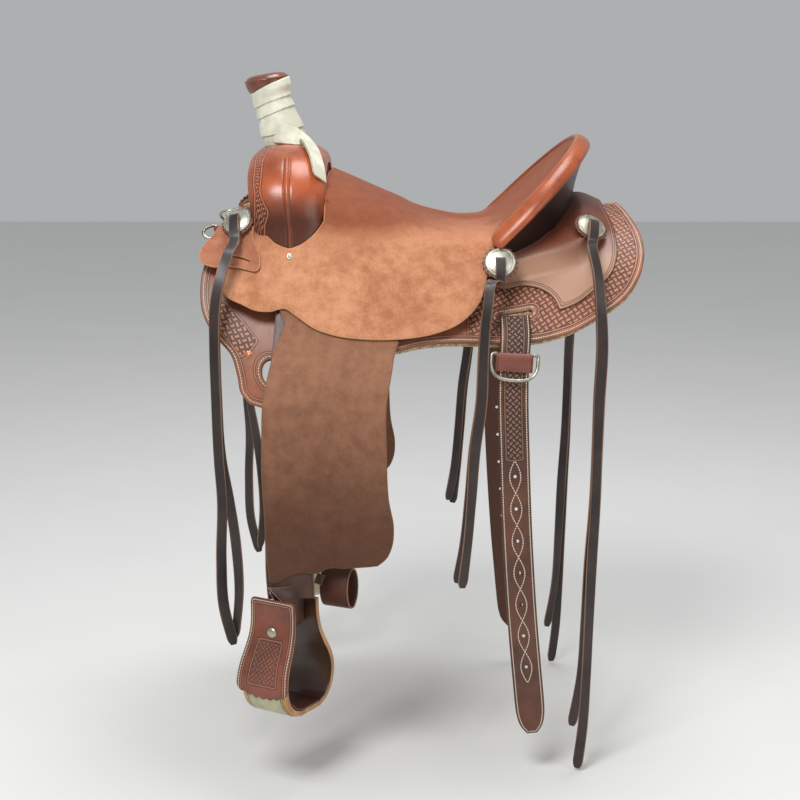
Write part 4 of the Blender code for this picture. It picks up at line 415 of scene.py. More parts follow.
def on_seat(x, w):
    """Top of the seat: w across, up to SEAT_HALF to the shoulder or rim, then down the flap."""
    x = np.asarray(x, float)
    past = np.clip((x - RIM_X) / RIM_DEPTH, 0, 1)
    narrow = np.sqrt(1 - past ** 2)
    shoulder = on_flap(np.minimum(x, RIM_X), along(np.minimum(x, RIM_X), SHOULDER), 0.0)
    edge_y = np.where(past > 0, RIM_WIDTH * narrow, shoulder[..., 1])
    edge_z = np.where(past > 0, RIM_FOOT + RIM_RISE * past, shoulder[..., 2])
    middle = along(x, SEAT_LINE)
    slope = np.radians(along(x, FLAP_SLOPE))
    bench = np.clip(1 - (middle - edge_z) / np.tan(slope) / np.maximum(edge_y, MM), 0.3, 1)
    dish = along(x, [(RIM_X, 0.93), (0.18, 0.75), (0.26, 0.6)])
    turn = smooth_step((x - 0.11) / 0.035)
    bulge = bench * (1 - turn) + dish * turn
    across = np.abs(w) / SEAT_HALF / np.maximum(narrow, 0.02)
    u = np.clip(across, 0, 1)
    y = 2 * u * (1 - u) * bulge * edge_y + u * u * edge_y
    z = middle * (1 - u * u) + u * u * edge_z
    below = np.where(past > 0, 0, np.clip(np.abs(w) - SEAT_HALF, 0, None))
    return np.stack([x, np.sign(w) * (y + below * np.cos(slope)), z - below * np.sin(slope)], -1)


def on_hang(x, q, lift):
    """The plane that the fender hangs in: q down it, with a bend to nearly upright at HANG_BEND."""
    slope = math.radians(FLAP_SLOPE[-1][1])
    q = np.asarray(q, float)
    arc = HANG_RADIUS * (HANG_SLOPE - slope)
    flat = np.minimum(q, HANG_BEND)
    bent = np.clip(q - HANG_BEND, 0, arc)
    free = np.clip(q - HANG_BEND - arc, 0, None)
    turn = slope + bent / HANG_RADIUS
    y = HANG_DISTANCE * math.sin(slope) + flat * math.cos(slope) + free * math.cos(HANG_SLOPE)
    y = y + HANG_RADIUS * (np.sin(turn) - math.sin(slope)) + lift * np.sin(turn)
    z = HANG_DISTANCE * math.cos(slope) - flat * math.sin(slope) - free * math.sin(HANG_SLOPE)
    z = z - HANG_RADIUS * (math.cos(slope) - np.cos(turn)) + lift * np.cos(turn)
    return np.stack([x + 0 * q, y, z], -1)


def frame_on(place, a, b):
    """Point of a surface with its outward normal and the direction that runs down it."""
    d = 0.5 * MM
    here = place(np.array([a]), np.array([b]))[0]
    ahead = place(np.array([a + d]), np.array([b]))[0] - here
    down = place(np.array([a]), np.array([b + d]))[0] - here
    normal = unit(np.cross(ahead, down))
    return here, -normal if normal[1] < 0 else normal, unit(down)


def inside(points, loop):
    """Which flat points lie inside a closed loop."""
    a = loop
    b = np.roll(loop, -1, axis=0)
    px, py = points[:, :1], points[:, 1:]
    over = (a[:, 1] > py) != (b[:, 1] > py)
    rise = np.where(b[:, 1] == a[:, 1], 1, b[:, 1] - a[:, 1])
    crossing = (b[:, 0] - a[:, 0]) * (py - a[:, 1]) / rise + a[:, 0]
    return (np.count_nonzero(over & (px < crossing), axis=1) % 2).astype(bool)


def oval(centre_a, centre_b, half_a, half_b, count):
    """Flat outline of an oval hole."""
    turn = full_turn(count)
    return np.stack([centre_a + half_a * np.cos(turn), centre_b + half_b * np.sin(turn)], -1)


def axis_frame(origin, z_axis, x_axis):
    """Matrix with its Z along z_axis and its X towards x_axis."""
    z = Vector(z_axis).normalized()
    y = z.cross(Vector(x_axis)).normalized()
    x = y.cross(z)
    return Matrix.Translation(origin) @ Matrix((x, y, z)).transposed().to_4x4()


def arc_from_y(x, y):
    """Distance over the curve at which the skirts' outer face reaches a half width y."""
    slope, radius, _ = side_arc(x)
    centre_y = (CROWN_RADIUS - radius) * np.sin(slope)
    angle = np.arcsin((y - centre_y) / radius)
    return CROWN_RADIUS * slope + (angle - slope) * radius


def rim_point(angle):
    """Stitch line of the cantle: angle 0 at its middle, a quarter turn at its end."""
    share = math.cos(angle)
    return np.array([RIM_X + RIM_DEPTH * share, RIM_WIDTH * math.sin(angle), RIM_FOOT + RIM_RISE * share])


def roll_point(angle):
    """Outer edge of the cantle roll."""
    share = math.cos(angle)
    foot, top = np.array(ROLL_FOOT), np.array(ROLL_TOP)
    place = foot + (top - foot) * share
    place[1] = ROLL_FOOT[1] * math.sin(angle)
    return place


def shelf_height(x, s):
    """Height over the skirts of what lies on the bars, a little clear of them."""
    return GAP + (BAR_THICKNESS + 1.2 * MM) * shelf_rise(x, s, 0.016)


def base_point(angle, lift):
    """Foot of the cantle's back, where it meets the bars and the rear jockeys."""
    x = 0.158 + (0.2585 - 0.158) * math.cos(angle) ** 0.8
    y = 0.12 * math.sin(angle)
    s = arc_from_y(x, max(y, 0.014)) if y > 0.014 else y
    return on_back(np.array(x), np.array(s), shelf_height(x, s) + lift)


def flap_w(v, x):
    """Flat width coordinate of a point v down the flap."""
    return SEAT_HALF + v - float(along(x, SHOULDER))


def concho_frames():
    """Where each rosette sits: point on the leather below it, outward normal and down direction."""
    front = disc_on(lambda x, v: on_flap(x, v, FRONT_LIFT + JOCKEY_LEATHER), -0.235, 0.056)
    middle = disc_on(lambda x, v: on_flap(x, v, 0.0), 0.145, 0.098)
    rear = disc_on(lambda x, s: on_back(x, s, shelf_height(x, s) + JOCKEY_LEATHER), 0.281, 0.119,
                   -0.8 * MM)
    return {"front": front, "middle": middle, "rear": rear}


def disc_on(place, a, b, rest=0.5 * MM):
    """Where a rosette comes to rest on a curved surface: square to its mean plane, clear of it."""
    turn = full_turn(16)
    round_it = np.stack([np.cos(turn), np.sin(turn)], -1)
    steps = np.concatenate([round_it * share * ROSETTE_RADIUS for share in (0.5, 1.0)])
    points = place(a + steps[:, 0], b + steps[:, 1])
    centre, normal, down = frame_on(place, a, b)
    middle = points.mean(0)
    fitted = np.linalg.svd(points - middle)[2][2]
    normal = fitted if fitted @ normal > 0 else -fitted
    down = unit(down - normal * (down @ normal))
    proud = ((points - centre) @ normal).max()
    return centre + normal * (max(proud, 0) + rest), normal, down


def disc_matrix(frame, lift):
    """Matrix with its Z along a frame's normal, lift proud of its point, and X upwards."""
    point, normal, down = frame
    return axis_frame(point + normal * lift, normal, -down)


def breast_ring_matrix():
    """Frame at the breast ring's chape: Z out of the skirt, X towards the ring."""
    point, normal, down = frame_on(lambda x, s: on_back(x, s, 0.0), *RING_FRAME)
    forward = np.cross(normal, down)
    forward = forward if forward[0] < 0 else -forward
    out = forward * 0.85 + down * 0.25
    return axis_frame(point + normal * 0.8 * MM, normal, out)


def dee_points(half_bar, length, bow, corner=0.004, square=1.0):
    """Outline of a D ring: bar along Y at x = 0, bow towards +X, squarer for a lower power."""
    turn = np.linspace(-math.pi / 2, math.pi / 2, 13)
    forth = np.maximum(np.cos(turn), 0) ** square
    side = squared(np.sin(turn), square)
    reach = np.stack([corner + (length - corner) * forth, (half_bar + bow) * side, 0 * turn], -1)
    bar = [(0, y, 0) for y in (half_bar, half_bar * 0.33, -half_bar * 0.33, -half_bar)]
    return np.concatenate([reach, bar])


def path_at(path, distance):
    """Point at a distance along a path, and the direction of the path there."""
    length = run_along(path)
    spans = np.diff(length)
    i = min(int(np.searchsorted(length, distance, side="right")) - 1, len(spans) - 1)
    t = (distance - length[i]) / spans[i]
    return path[i] * (1 - t) + path[i + 1] * t, (path[i + 1] - path[i]) / spans[i]


def billet_path():
    """Middle of the billet, from the slot in the skirt to its tip."""
    top = np.array(BILLET_TOP)
    x_tip, z_tip = BILLET_TIP
    points = [top, top + [0.001, 0.0215, -0.03], (0.1635, 0.244, -0.15), (0.1665, 0.248, -0.3),
              (0.178, 0.249, -0.5), (x_tip, 0.249, z_tip)]
    return smooth_run(points, 0.03)


def keeper_matrix():
    """Frame on the billet's outer face at the keeper: X across, Y up the strap, Z outwards."""
    place, ahead = path_at(billet_path(), 0.072)
    out = np.cross((1, 0, 0), ahead)
    out = out if out[1] > 0 else -out
    return axis_frame(place + out * BILLET_LEATHER / 2, out, np.cross(-ahead, out))


def strap_layers():
    """Sections of the stirrup leather: down the outside, round the roller and up the inside.

    Each one is its middle, the direction of its width and the width."""
    rows = []
    for q in (0.108, 0.135, 0.165, 0.195, 0.225, 0.25, 0.268, 0.286, 0.304, 0.33, 0.38, 0.44, 0.5):
        x = float(along(q, STRAP_LINE))
        rows.append((on_hang(np.array(x), np.array(q), STRAP_LEATHER / 2), np.array([1.0, 0, 0]),
                     STRAP_WIDTH))
    centre = np.array([*STIRRUP_CENTRE, BOLT_HEIGHT])
    out = np.array([math.cos(STIRRUP_TURN), math.sin(STIRRUP_TURN), 0.0])
    reach = ROLLER_RADIUS + 0.8 * MM + STRAP_LEATHER / 2
    back = []
    for height, degrees, width, way in STRAP_TWIST:
        q = HANG_BEND + HANG_RADIUS * (HANG_SLOPE - math.radians(62)) + (-0.2113 - height)
        high = on_hang(np.array(float(along(q, STRAP_LINE))), np.array(q), STRAP_LEATHER / 2)
        low = centre + out * reach
        share = float(smooth_step((-0.45 - height) / 0.052))
        middle = high + (low - high) * share
        middle[2] = height
        turn = math.radians(degrees)
        across = np.array([math.cos(turn), -math.sin(turn), 0.0])
        normal = np.array([math.sin(turn), math.cos(turn), 0.0])
        low_share = float(smooth_step((-0.46 - height) / 0.025))
        rows.append((middle, across, width))
        back.append((middle - (normal * (1 - low_share) + out * low_share) * way, across, width))
    across = rows[-1][1]
    for degrees in range(0, 181, 30):
        turn = math.radians(degrees)
        rows.append((centre + out * reach * math.cos(turn) - np.array([0, 0, reach * math.sin(turn)]),
                     across, 0.0445))
    return rows + back[::-1]


def fork_section(t, grow, angles):
    """Points of the fork's oval section at share t of the way from crown to foot, on +Y."""
    table = np.array(FORK_PATH)
    share = abs(t)

    def value(column, at=share):
        return float(along(at, table[:, [0, column]]))
    step = 0.01
    dy, dz = [value(column, min(share + step, 1)) - value(column, max(share - step, 0))
              for column in (1, 2)]
    size = math.hypot(dy, dz)
    out_y, out_z = (-dz / size, dy / size) if share > 0.001 else (0.0, 1.0)
    along_x = float(along(share, FORK_X)) + (value(3) + grow) * np.sin(angles)
    outwards = (value(4) + grow) * np.cos(angles)
    sign = -1 if t < 0 else 1
    return np.stack([along_x, sign * (value(1) + out_y * outwards), value(2) + out_z * outwards], -1)


def in_stirrup(k, e, z):
    """Point of the saddle from stirrup coordinates: towards the horse, through it and up."""
    across = np.array([math.sin(STIRRUP_TURN), -math.cos(STIRRUP_TURN)])
    through = np.array([math.cos(STIRRUP_TURN), math.sin(STIRRUP_TURN)])
    k, e, z = np.broadcast_arrays(k, e, z)
    plan = np.array(STIRRUP_CENTRE) + k[..., None] * across + e[..., None] * through
    return np.concatenate([plan, z[..., None]], -1)


# Making pieces

def tube_faces(rows, count, closed=False):
    """Faces round rings of points one after another, with a cap at each end unless closed."""
    sides = grid_faces(rows, count, ring=True, loop=closed)
    last = (rows - 1) * count + np.arange(count)
    return [sides] if closed else [sides, np.arange(count)[None], last[None, ::-1]]


def grid_faces(rows, columns, ring=False, loop=False):
    """Quads of a grid of points; ring joins the last column to the first, loop the last row."""
    i = np.arange(rows if loop else rows - 1)[:, None]
    k = np.arange(columns if ring else columns - 1)[None]
    j = (i + 1) % rows
    m = (k + 1) % columns
    return np.stack(np.broadcast_arrays(i * columns + k, i * columns + m, j * columns + m, j * columns + k),
                    -1).reshape(-1, 4)


def volume(points, blocks):
    """Six times the volume inside closed faces, below zero if they point inwards."""
    total = 0.0
    for block in blocks:
        for k in range(1, block.shape[1] - 1):
            a, b, c = points[block[:, 0]], points[block[:, k]], points[block[:, k + 1]]
            total += (a * np.cross(b, c)).sum()
    return total


def piece(name, points, blocks, finish, nodes, flat=None, sharp=45, bend=None, **fields):
    """A closed mesh in its place that stands for CAD nodes, or lies on the first of them.

    flat gives two flat coordinates to each point and fields one number each, for the finish. If bend
    is given, the piece is left out of the bodies, its place baked in; the bodies and points in it are
    not used. SIDE in the name makes a pair, given as a list: each with its side in place of SIDE.
    """
    if "SIDE" in name:
        return [piece(name.replace("SIDE", side_name), np.asarray(points, float) * [1, side, 1], blocks,
                      finish, nodes.replace("SIDE", side_name), flat, sharp,
                      bend and [bend[0], bend[1].replace("SIDE", side_name), *bend[2:]], **fields)
                for side_name, side in SIDES.items()]
    points = np.asarray(points, float)
    blocks = [np.asarray(block) for block in blocks]
    if volume(points, blocks) < 0:
        blocks = [block[:, ::-1] for block in blocks]
    mesh = bpy.data.meshes.new(name)
    mesh.from_pydata(points.tolist(), [], [face for block in blocks for face in block.tolist()])
    mesh.validate()
    mesh.shade_smooth()
    mesh.set_sharp_from_angle(angle=math.radians(sharp))
    if flat is not None:
        corners = np.empty(len(mesh.loops), int)
        mesh.loops.foreach_get("vertex_index", corners)
        layer = mesh.uv_layers.new(name="flat")
        layer.data.foreach_set("uv", np.asarray(flat, np.float32)[corners].ravel())
    for field, values in fields.items():
        layer = mesh.attributes.new(field, "FLOAT", "POINT")
        layer.data.foreach_set("value", np.broadcast_to(values, len(points)).astype(np.float32))
    mesh.materials.append(finish)
    obj = bpy.data.objects.new(name, mesh)
    bpy.context.scene.collection.objects.link(obj)
    nodes = [nodes] if isinstance(nodes, str) else nodes
    if bend:
        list(bend)
        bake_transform(obj)
    else:
        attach(obj, frame["nodes"][nodes[0].lstrip("+")]["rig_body"])
    stands_for = [node for node in nodes if not node.startswith("+")]
    if stands_for:
        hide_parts(*stands_for)
    return obj


def axis_of(matrix, k):
    """Direction of one of a matrix's axes."""
    return np.array(matrix)[:3, k]


def moved(points, matrix):
    """Points put through a matrix."""
    matrix = np.array(matrix)
    return np.asarray(points, float) @ matrix[:3, :3].T + matrix[:3, 3]


def turned(name, profile, place, finish, nodes, steps=48, wave=None):
    """A profile of (radius, height) turned about a matrix's Z; wave scales the radii by turn."""
    profile = np.array(profile, float)
    turn = full_turn(steps)
    poles = profile[0, 0] == 0
    rim = profile[1:-1] if poles else profile
    swell = 1 if wave is None else wave(turn)[None]
    x = rim[:, :1] * swell * np.cos(turn)
    y = rim[:, :1] * swell * np.sin(turn)
    points = np.stack([x, y, rim[:, 1:] + 0 * x], -1).reshape(-1, 3)
    count = len(rim)
    blocks = [grid_faces(count, steps, ring=True, loop=not poles)]
    if poles:
        first = len(points)
        points = np.concatenate([points, [[0, 0, profile[0, 1]], [0, 0, profile[-1, 1]]]])
        k = np.arange(steps)
        after = (k + 1) % steps
        last = (count - 1) * steps
        blocks += [np.stack([after, k, 0 * k + first], -1),
                   np.stack([last + k, last + after, 0 * k + first + 1], -1)]
    return piece(name, moved(points, place), blocks, finish, nodes, points[:, :2],
                 reach=np.linalg.norm(points[:, :2], axis=1), rise=points[:, 2])


def path_frames(path, across, closed=False, square=True):
    """Unit across and outward directions along a path; across is turned square to it if asked."""
    path = np.asarray(path, float)
    ahead = np.roll(path, -1, axis=0) - np.roll(path, 1, axis=0) if closed else np.gradient(path, axis=0)
    ahead = unit(ahead)
    across = np.broadcast_to(np.asarray(across, float), path.shape)
    across = unit(across - square * (across * ahead).sum(1)[:, None] * ahead)
    return across, unit(np.cross(ahead, across))


def carried(name, path, across, section, finish, nodes, closed=False, square=True, bend=None):
    """A closed section of (across, outwards) offsets carried along a path, its ends cut flat."""
    path = np.asarray(path, float)
    across, out = path_frames(path, across, closed, square)
    section = np.broadcast_to(np.asarray(section, float), (len(path), *np.shape(section)[-2:]))
    points = path[:, None] + section[..., :1] * across[:, None] + section[..., 1:] * out[:, None]
    rows, count = points.shape[:2]
    run = np.broadcast_to(run_along(path)[:, None], (rows, count))
    half = np.abs(section[..., 0]).max(1)
    flat = np.stack([section[..., 0], run], -1).reshape(-1, 2)
    edge = (half[:, None] - np.abs(section[..., 0])).ravel()
    return piece(name, points.reshape(-1, 3), tube_faces(rows, count, closed), finish, nodes, flat, 50,
                 bend, edge=edge, run=flat[:, 1], face=(section[..., 1] > 0).ravel())


def strap_section(width, thickness, corner=0.45):
    """Rectangle with rounded corners: a power of cosine and sine, squarer for a lower power."""
    turn = full_turn(28)
    wide = squared(np.cos(turn), 0.16)
    thick = squared(np.sin(turn), corner)
    width = np.asarray(width, float)[..., None]
    return np.stack([wide * width / 2, thick * thickness / 2 + 0 * width], -1)


def round_section(radius):
    """A wire's section."""
    turn = full_turn(14)
    return np.stack([np.cos(turn), np.sin(turn)], -1) * radius


def edge_distance(points, rims):
    """Least distance from each flat point to the rims, and how far along its rim that place is."""
    starts, ways, runs, lengths = [], [], [], []
    for rim in rims:
        way = np.roll(rim, -1, axis=0) - rim
        length = np.linalg.norm(way, axis=1)
        starts.append(rim)
        ways.append(way)
        lengths.append(length)
        runs.append(np.concatenate(([0], np.cumsum(length)[:-1])))
    starts, ways, runs, lengths = map(np.concatenate, (starts, ways, runs, lengths))
    distance = np.empty(len(points))
    run = np.empty(len(points))
    for low in range(0, len(points), 3000):
        some = points[low:low + 3000, None] - starts
        share = np.clip((some * ways).sum(2) / (lengths ** 2), 0, 1)
        away = np.linalg.norm(some - share[..., None] * ways, axis=2)
        best = away.argmin(1)
        rows = np.arange(len(best))
        distance[low:low + 3000] = away[rows, best]
        run[low:low + 3000] = runs[best] + share[rows, best] * lengths[best]
    return distance, run


def cut_flat(loop, holes, pitch, inset):
    """Flat points and triangles of a cut piece of leather.

    Its points are the cut edge, rows at the inset distances inside it and a grid pitch apart.
    """
    rims = [loop, *holes]
    rows = []
    for i, rim in enumerate(rims):
        ahead = unit(np.roll(rim, -1, axis=0) - np.roll(rim, 1, axis=0))
        area = (rim[:, 0] * np.roll(rim[:, 1], -1) - rim[:, 1] * np.roll(rim[:, 0], -1)).sum()
        inwards = np.stack([-ahead[:, 1], ahead[:, 0]], -1) * np.sign(area) * (1 if i == 0 else -1)
        for distance in inset:
            row = rim + inwards * distance
            clear = edge_distance(row, rims)[0] > 0.85 * distance
            rows.append(row[clear])
    low, high = loop.min(0), loop.max(0)
    xs, ys = [np.arange(low[i] + 0.37 * pitch, high[i], pitch) for i in (0, 1)]
    grid = np.stack(np.meshgrid(xs, ys), -1).reshape(-1, 2)
    grid = grid[inside(grid, loop)]
    for hole in holes:
        grid = grid[~inside(grid, hole)]
    grid = grid[edge_distance(grid, rims)[0] > inset[-1] + 0.5 * pitch]
    edges = []
    start = 0
    for rim in rims:
        edges += [(start + k, start + (k + 1) % len(rim)) for k in range(len(rim))]
        start += len(rim)
    flat = np.concatenate([*rims, *rows, grid])
    found, _, triangles, *_ = delaunay_2d_cdt([Vector(p) for p in flat], edges, [], 0, 1e-8)
    flat = np.array([tuple(p) for p in found])
    triangles = np.array([list(t) for t in triangles])
    centre = flat[triangles].mean(1)
    keep = inside(centre, loop)
    for hole in holes:
        keep &= ~inside(centre, hole)
    distance, run = edge_distance(flat, rims)
    return flat, triangles[keep], distance, run


def leather(name, loop, holes, place, thickness, pitch, finish, node, shapes=None):
    """Leather of a flat outline laid on a surface, its cut edges rounded to half its thickness.

    place gives points from two flat coordinates and a lift. The upper face rises over the last of
    its edge as a quarter circle and the lower one mirrors it. shapes are more fields, as functions
    of the flat points and their edge distance.
    """
    radius = thickness / 2
    flat, triangles, edge, run = cut_flat(loop, holes, pitch,
                                          [0.15 * radius, 0.5 * radius, radius, 2.2 * radius])
    into = radius - np.minimum(edge, radius)
    rise = radius + np.sqrt(np.maximum(radius ** 2 - into ** 2, 0))
    top = place(flat[:, 0], flat[:, 1], rise)
    inner = edge > 1e-6
    number = np.arange(len(flat))
    number[inner] = len(flat) + np.arange(inner.sum())
    bottom = place(flat[inner, 0], flat[inner, 1], (thickness - rise)[inner])
    points = np.concatenate([top, bottom])
    both = np.concatenate([np.arange(len(flat)), np.flatnonzero(inner)])
    fields = {key: shape(flat, edge)[both] for key, shape in (shapes or {}).items()}
    face = np.concatenate([np.where(inner, 1.0, 0.5), np.zeros(inner.sum())])
    piece(name, points, [triangles, number[triangles][:, ::-1]], finish, node, flat[both], 60,
          edge=edge[both], run=run[both], face=face, **fields)


def raised(place, outwards):
    """A surface of two coordinates with a lift along its normal, on the outwards side, added."""
    def lifted(a, b, lift):
        d = 0.4 * MM
        normal = unit(np.cross(place(a + d, b) - place(a - d, b), place(a, b + d) - place(a, b - d)))
        normal *= np.where(normal @ np.array(outwards, float) < 0, -1, 1)[:, None]
        return place(a, b) + normal * np.asarray(lift)[..., None]
    return lifted


def within(loop):
    """Field of a piece: distance inside a flat loop, below zero outside it."""
    loop = np.array(loop, float)

    def distance(flat, edge):
        return edge_distance(flat, [loop])[0] * np.where(inside(flat, loop), 1, -1)
    return distance


# Finishes

def srgb(red, green, blue):
    """Linear colour from the 0 to 255 values that a screen shows."""
    parts = np.array([red, green, blue]) / 255
    return tuple(np.where(parts < 0.04045, parts / 12.92, ((parts + 0.055) / 1.055) ** 2.4).tolist())


def operator(operation, swapped=False):
    """Method that joins two values by a Math node, the other one first if swapped."""
    def method(self, other):
        return self.finish.maths(operation, *((other, self) if swapped else (self, other)))
    return method


class Value:
    """An output socket that adds Math nodes to its finish when it is used in a sum."""

    __add__, __radd__ = operator("ADD"), operator("ADD", True)
    __sub__, __rsub__ = operator("SUBTRACT"), operator("SUBTRACT", True)
    __mul__, __rmul__ = operator("MULTIPLY"), operator("MULTIPLY", True)
    __truediv__ = operator("DIVIDE")

    def __init__(self, finish, socket):
        self.finish = finish
        self.socket = socket

    def __abs__(self):
        return self.finish.maths("ABSOLUTE", self)


class Finish:
    """A material with one Principled shader and what its patterns are worked out with."""

    def __init__(self, name, **sockets):
        self.material = bpy.data.materials.new(name)
        self.material.use_nodes = True
        self.tree = self.material.node_tree
        self.shader = self.tree.nodes["Principled BSDF"]
        for key, value in sockets.items():
            self.shader.inputs[key.replace("_", " ")].default_value = value

    def node(self, kind, settings=None, sockets=None, output=0):
        """Adds a node: its settings first, then its sockets' values or links. Gives one output."""
        made = self.tree.nodes.new(kind)
        for key, value in (settings or {}).items():
            setattr(made, key, value)
        for key, value in (sockets or {}).items():
            socket = made.inputs[key]
            if isinstance(value, Value):
                self.tree.links.new(value.socket, socket)
            elif isinstance(value, tuple) and len(value) == 3 and socket.type == "RGBA":
                socket.default_value = (*value, 1)
            else:
                socket.default_value = value
        return Value(self, made.outputs[output])

    def maths(self, operation, *values):
        return self.node("ShaderNodeMath", {"operation": operation}, dict(enumerate(values)))

    def step(self, value, low, high):
        """0 below low and 1 above high, smooth between."""
        return self.node("ShaderNodeMapRange", {"interpolation_type": "SMOOTHSTEP"},
                         {"Value": value, "From Min": low, "From Max": high})

    def mix(self, share, first, second):
        """Colour between two colours."""
        return self.node("ShaderNodeMix", {"data_type": "RGBA"}, {0: share, 6: first, 7: second}, 2)

    def field(self, name):
        """One of the piece's fields."""
        return self.node("ShaderNodeAttribute", {"attribute_name": name}, output=2)

    def distance(self, name):
        """A field that is a distance, in millimetres."""
        return self.field(name) * 1000

    def under(self):
        """1 on a leather's lower face and 0 on its upper one."""
        return 1 - self.step(self.field("face"), 0.1, 0.4)

    def place(self):
        """Position in the piece's own axes, which are the saddle's at rest."""
        return self.node("ShaderNodeTexCoord", output=3)

    def part(self, vector, k):
        """One of a vector's three numbers."""
        return self.node("ShaderNodeSeparateXYZ", {}, {0: vector}, k)

    def spread(self, vector, scale, turn=0.0):
        """A vector scaled by three numbers and turned about Z."""
        return self.node("ShaderNodeMapping", {"vector_type": "POINT"},
                         {"Vector": vector, "Scale": scale, "Rotation": (0, 0, turn)})

    def noise(self, scale, detail=3.0, rough=0.55, vector=None):
        vector = vector or self.place()
        return self.node("ShaderNodeTexNoise", {},
                         {"Vector": vector, "Scale": scale, "Detail": detail, "Roughness": rough})

    def cells(self, scale):
        """Distance to the nearest of points strewn at random."""
        return self.node("ShaderNodeTexVoronoi", {}, {"Vector": self.place(), "Scale": scale})

    def flat(self, turn=0.0):
        """Both flat coordinates of the piece, in millimetres, turned by an angle."""
        vector = self.node("ShaderNodeUVMap", {"uv_map": "flat"})
        vector = self.spread(vector, (1000, 1000, 1), turn)
        return [self.part(vector, k) for k in (0, 1)]

    def line(self, value, centre, half):
        """1 on a line about a value and 0 beyond half its width."""
        return 1 - self.step(abs(value - centre), half * 0.45, half)

    def band(self, heights, waver=0):
        """0 at the first height in millimetres and 1 at the second, which may be the lower one."""
        height = self.part(self.place(), 2) * 1000 + waver
        share = self.step(height, min(heights), max(heights))
        return share if heights[0] < heights[1] else 1 - share

    def stitches(self, edge, run, centre, pitch=3.6):
        """Dashes of thread on the line where edge is centre, in millimetres."""
        dash = abs(self.maths("FRACT", run / pitch) - 0.5)
        return self.line(edge, centre, 1.0) * (1 - self.step(dash, 0.3, 0.4))

    def basket(self, pitch, turn):
        """Basket stamp: raised strips that pass over each other, 0 in the cuts to 1 on top."""
        u, v = [value / pitch for value in self.flat(turn)]
        odd = abs(self.maths("FLOOR", u) + self.maths("FLOOR", v))
        odd = self.step(self.maths("FRACT", odd / 2), 0.2, 0.3)
        a, b = [abs(self.maths("FRACT", value) - 0.5) * 2 for value in (u, v)]
        strips = [(1 - self.step(wide, 0.3, 0.85)) * (1 - 0.6 * self.step(long, 0.7, 1.0))
                  for wide, long in ((a, b), (b, a))]
        return strips[0] * odd + strips[1] * (1 - odd)

    def done(self, colour, rough, height=None):
        """Links the colour, the roughness and a height in millimetres."""
        for key, value in (("Base Color", colour), ("Roughness", rough)):
            socket = self.shader.inputs[key]
            if isinstance(value, Value):
                self.tree.links.new(value.socket, socket)
            else:
                socket.default_value = (*value, 1) if key == "Base Color" else value
        if height is not None:
            bump = self.node("ShaderNodeBump", {}, {"Height": height, "Distance": MM, "Strength": 1.0})
            self.tree.links.new(bump.socket, self.shader.inputs["Normal"])
        return self.material


THREAD = srgb(226, 212, 184)
CUT = srgb(214, 160, 112)
BLACKENED = (0.01, 0.004, 0.002)      # linear colours: creases, the depth of a cut and the painted highlight on raised tops and beads
DEEPEST = (0.012, 0.004, 0.002)
PAINTED_HIGHLIGHT = (1.0, 0.72, 0.5)


def rough_leather(name, light, dark, cut=CUT, darkening=None):
    """Flesh-side-out leather: soft nap in patches, short fibres and a paler cut edge.

    worn is a colour, the two heights between which it comes in and, if it keeps to the middle, the
    two half widths between which it fades, all in millimetres.
    """
    finish = Finish(name, Sheen_Weight=0.06, Sheen_Roughness=0.5, Specular_IOR_Level=0.25)
    edge = finish.distance("edge")
    cloud = finish.noise(9, 4, 0.6)
    patch = finish.noise(55, 5, 0.62)
    nap = finish.noise(420, 3, 0.7)
    share = finish.step(cloud * 0.5 + patch * 0.45 + nap * 0.25, 0.42, 0.76)
    colour = finish.mix(share, dark, light)
    if darkening is not None:
        share = finish.band(darkening[1], patch * 40)
        if len(darkening) > 2:
            width = abs(finish.part(finish.place(), 1)) * 1000 + patch * 50
            share = finish.maths("MAXIMUM", share, 1 - finish.step(width, *darkening[2]))
        colour = finish.mix(share * 0.8, colour, darkening[0])
    speck = finish.step(finish.noise(160, 2, 0.5), 0.66, 0.74)
    colour = finish.mix(speck * 0.22, colour, dark)
    colour = finish.mix((1 - finish.step(edge, 0.8, 1.9)) * 0.6, colour, cut)
    colour = finish.mix(finish.under() * 0.5, colour, dark)
    height = nap * 0.28 + finish.noise(1500, 2, 0.6) * 0.14 + patch * 0.5
    height = height - finish.line(edge, 2.8, 0.7) * 0.15
    return finish.done(colour, 0.82 + nap * 0.12, height)


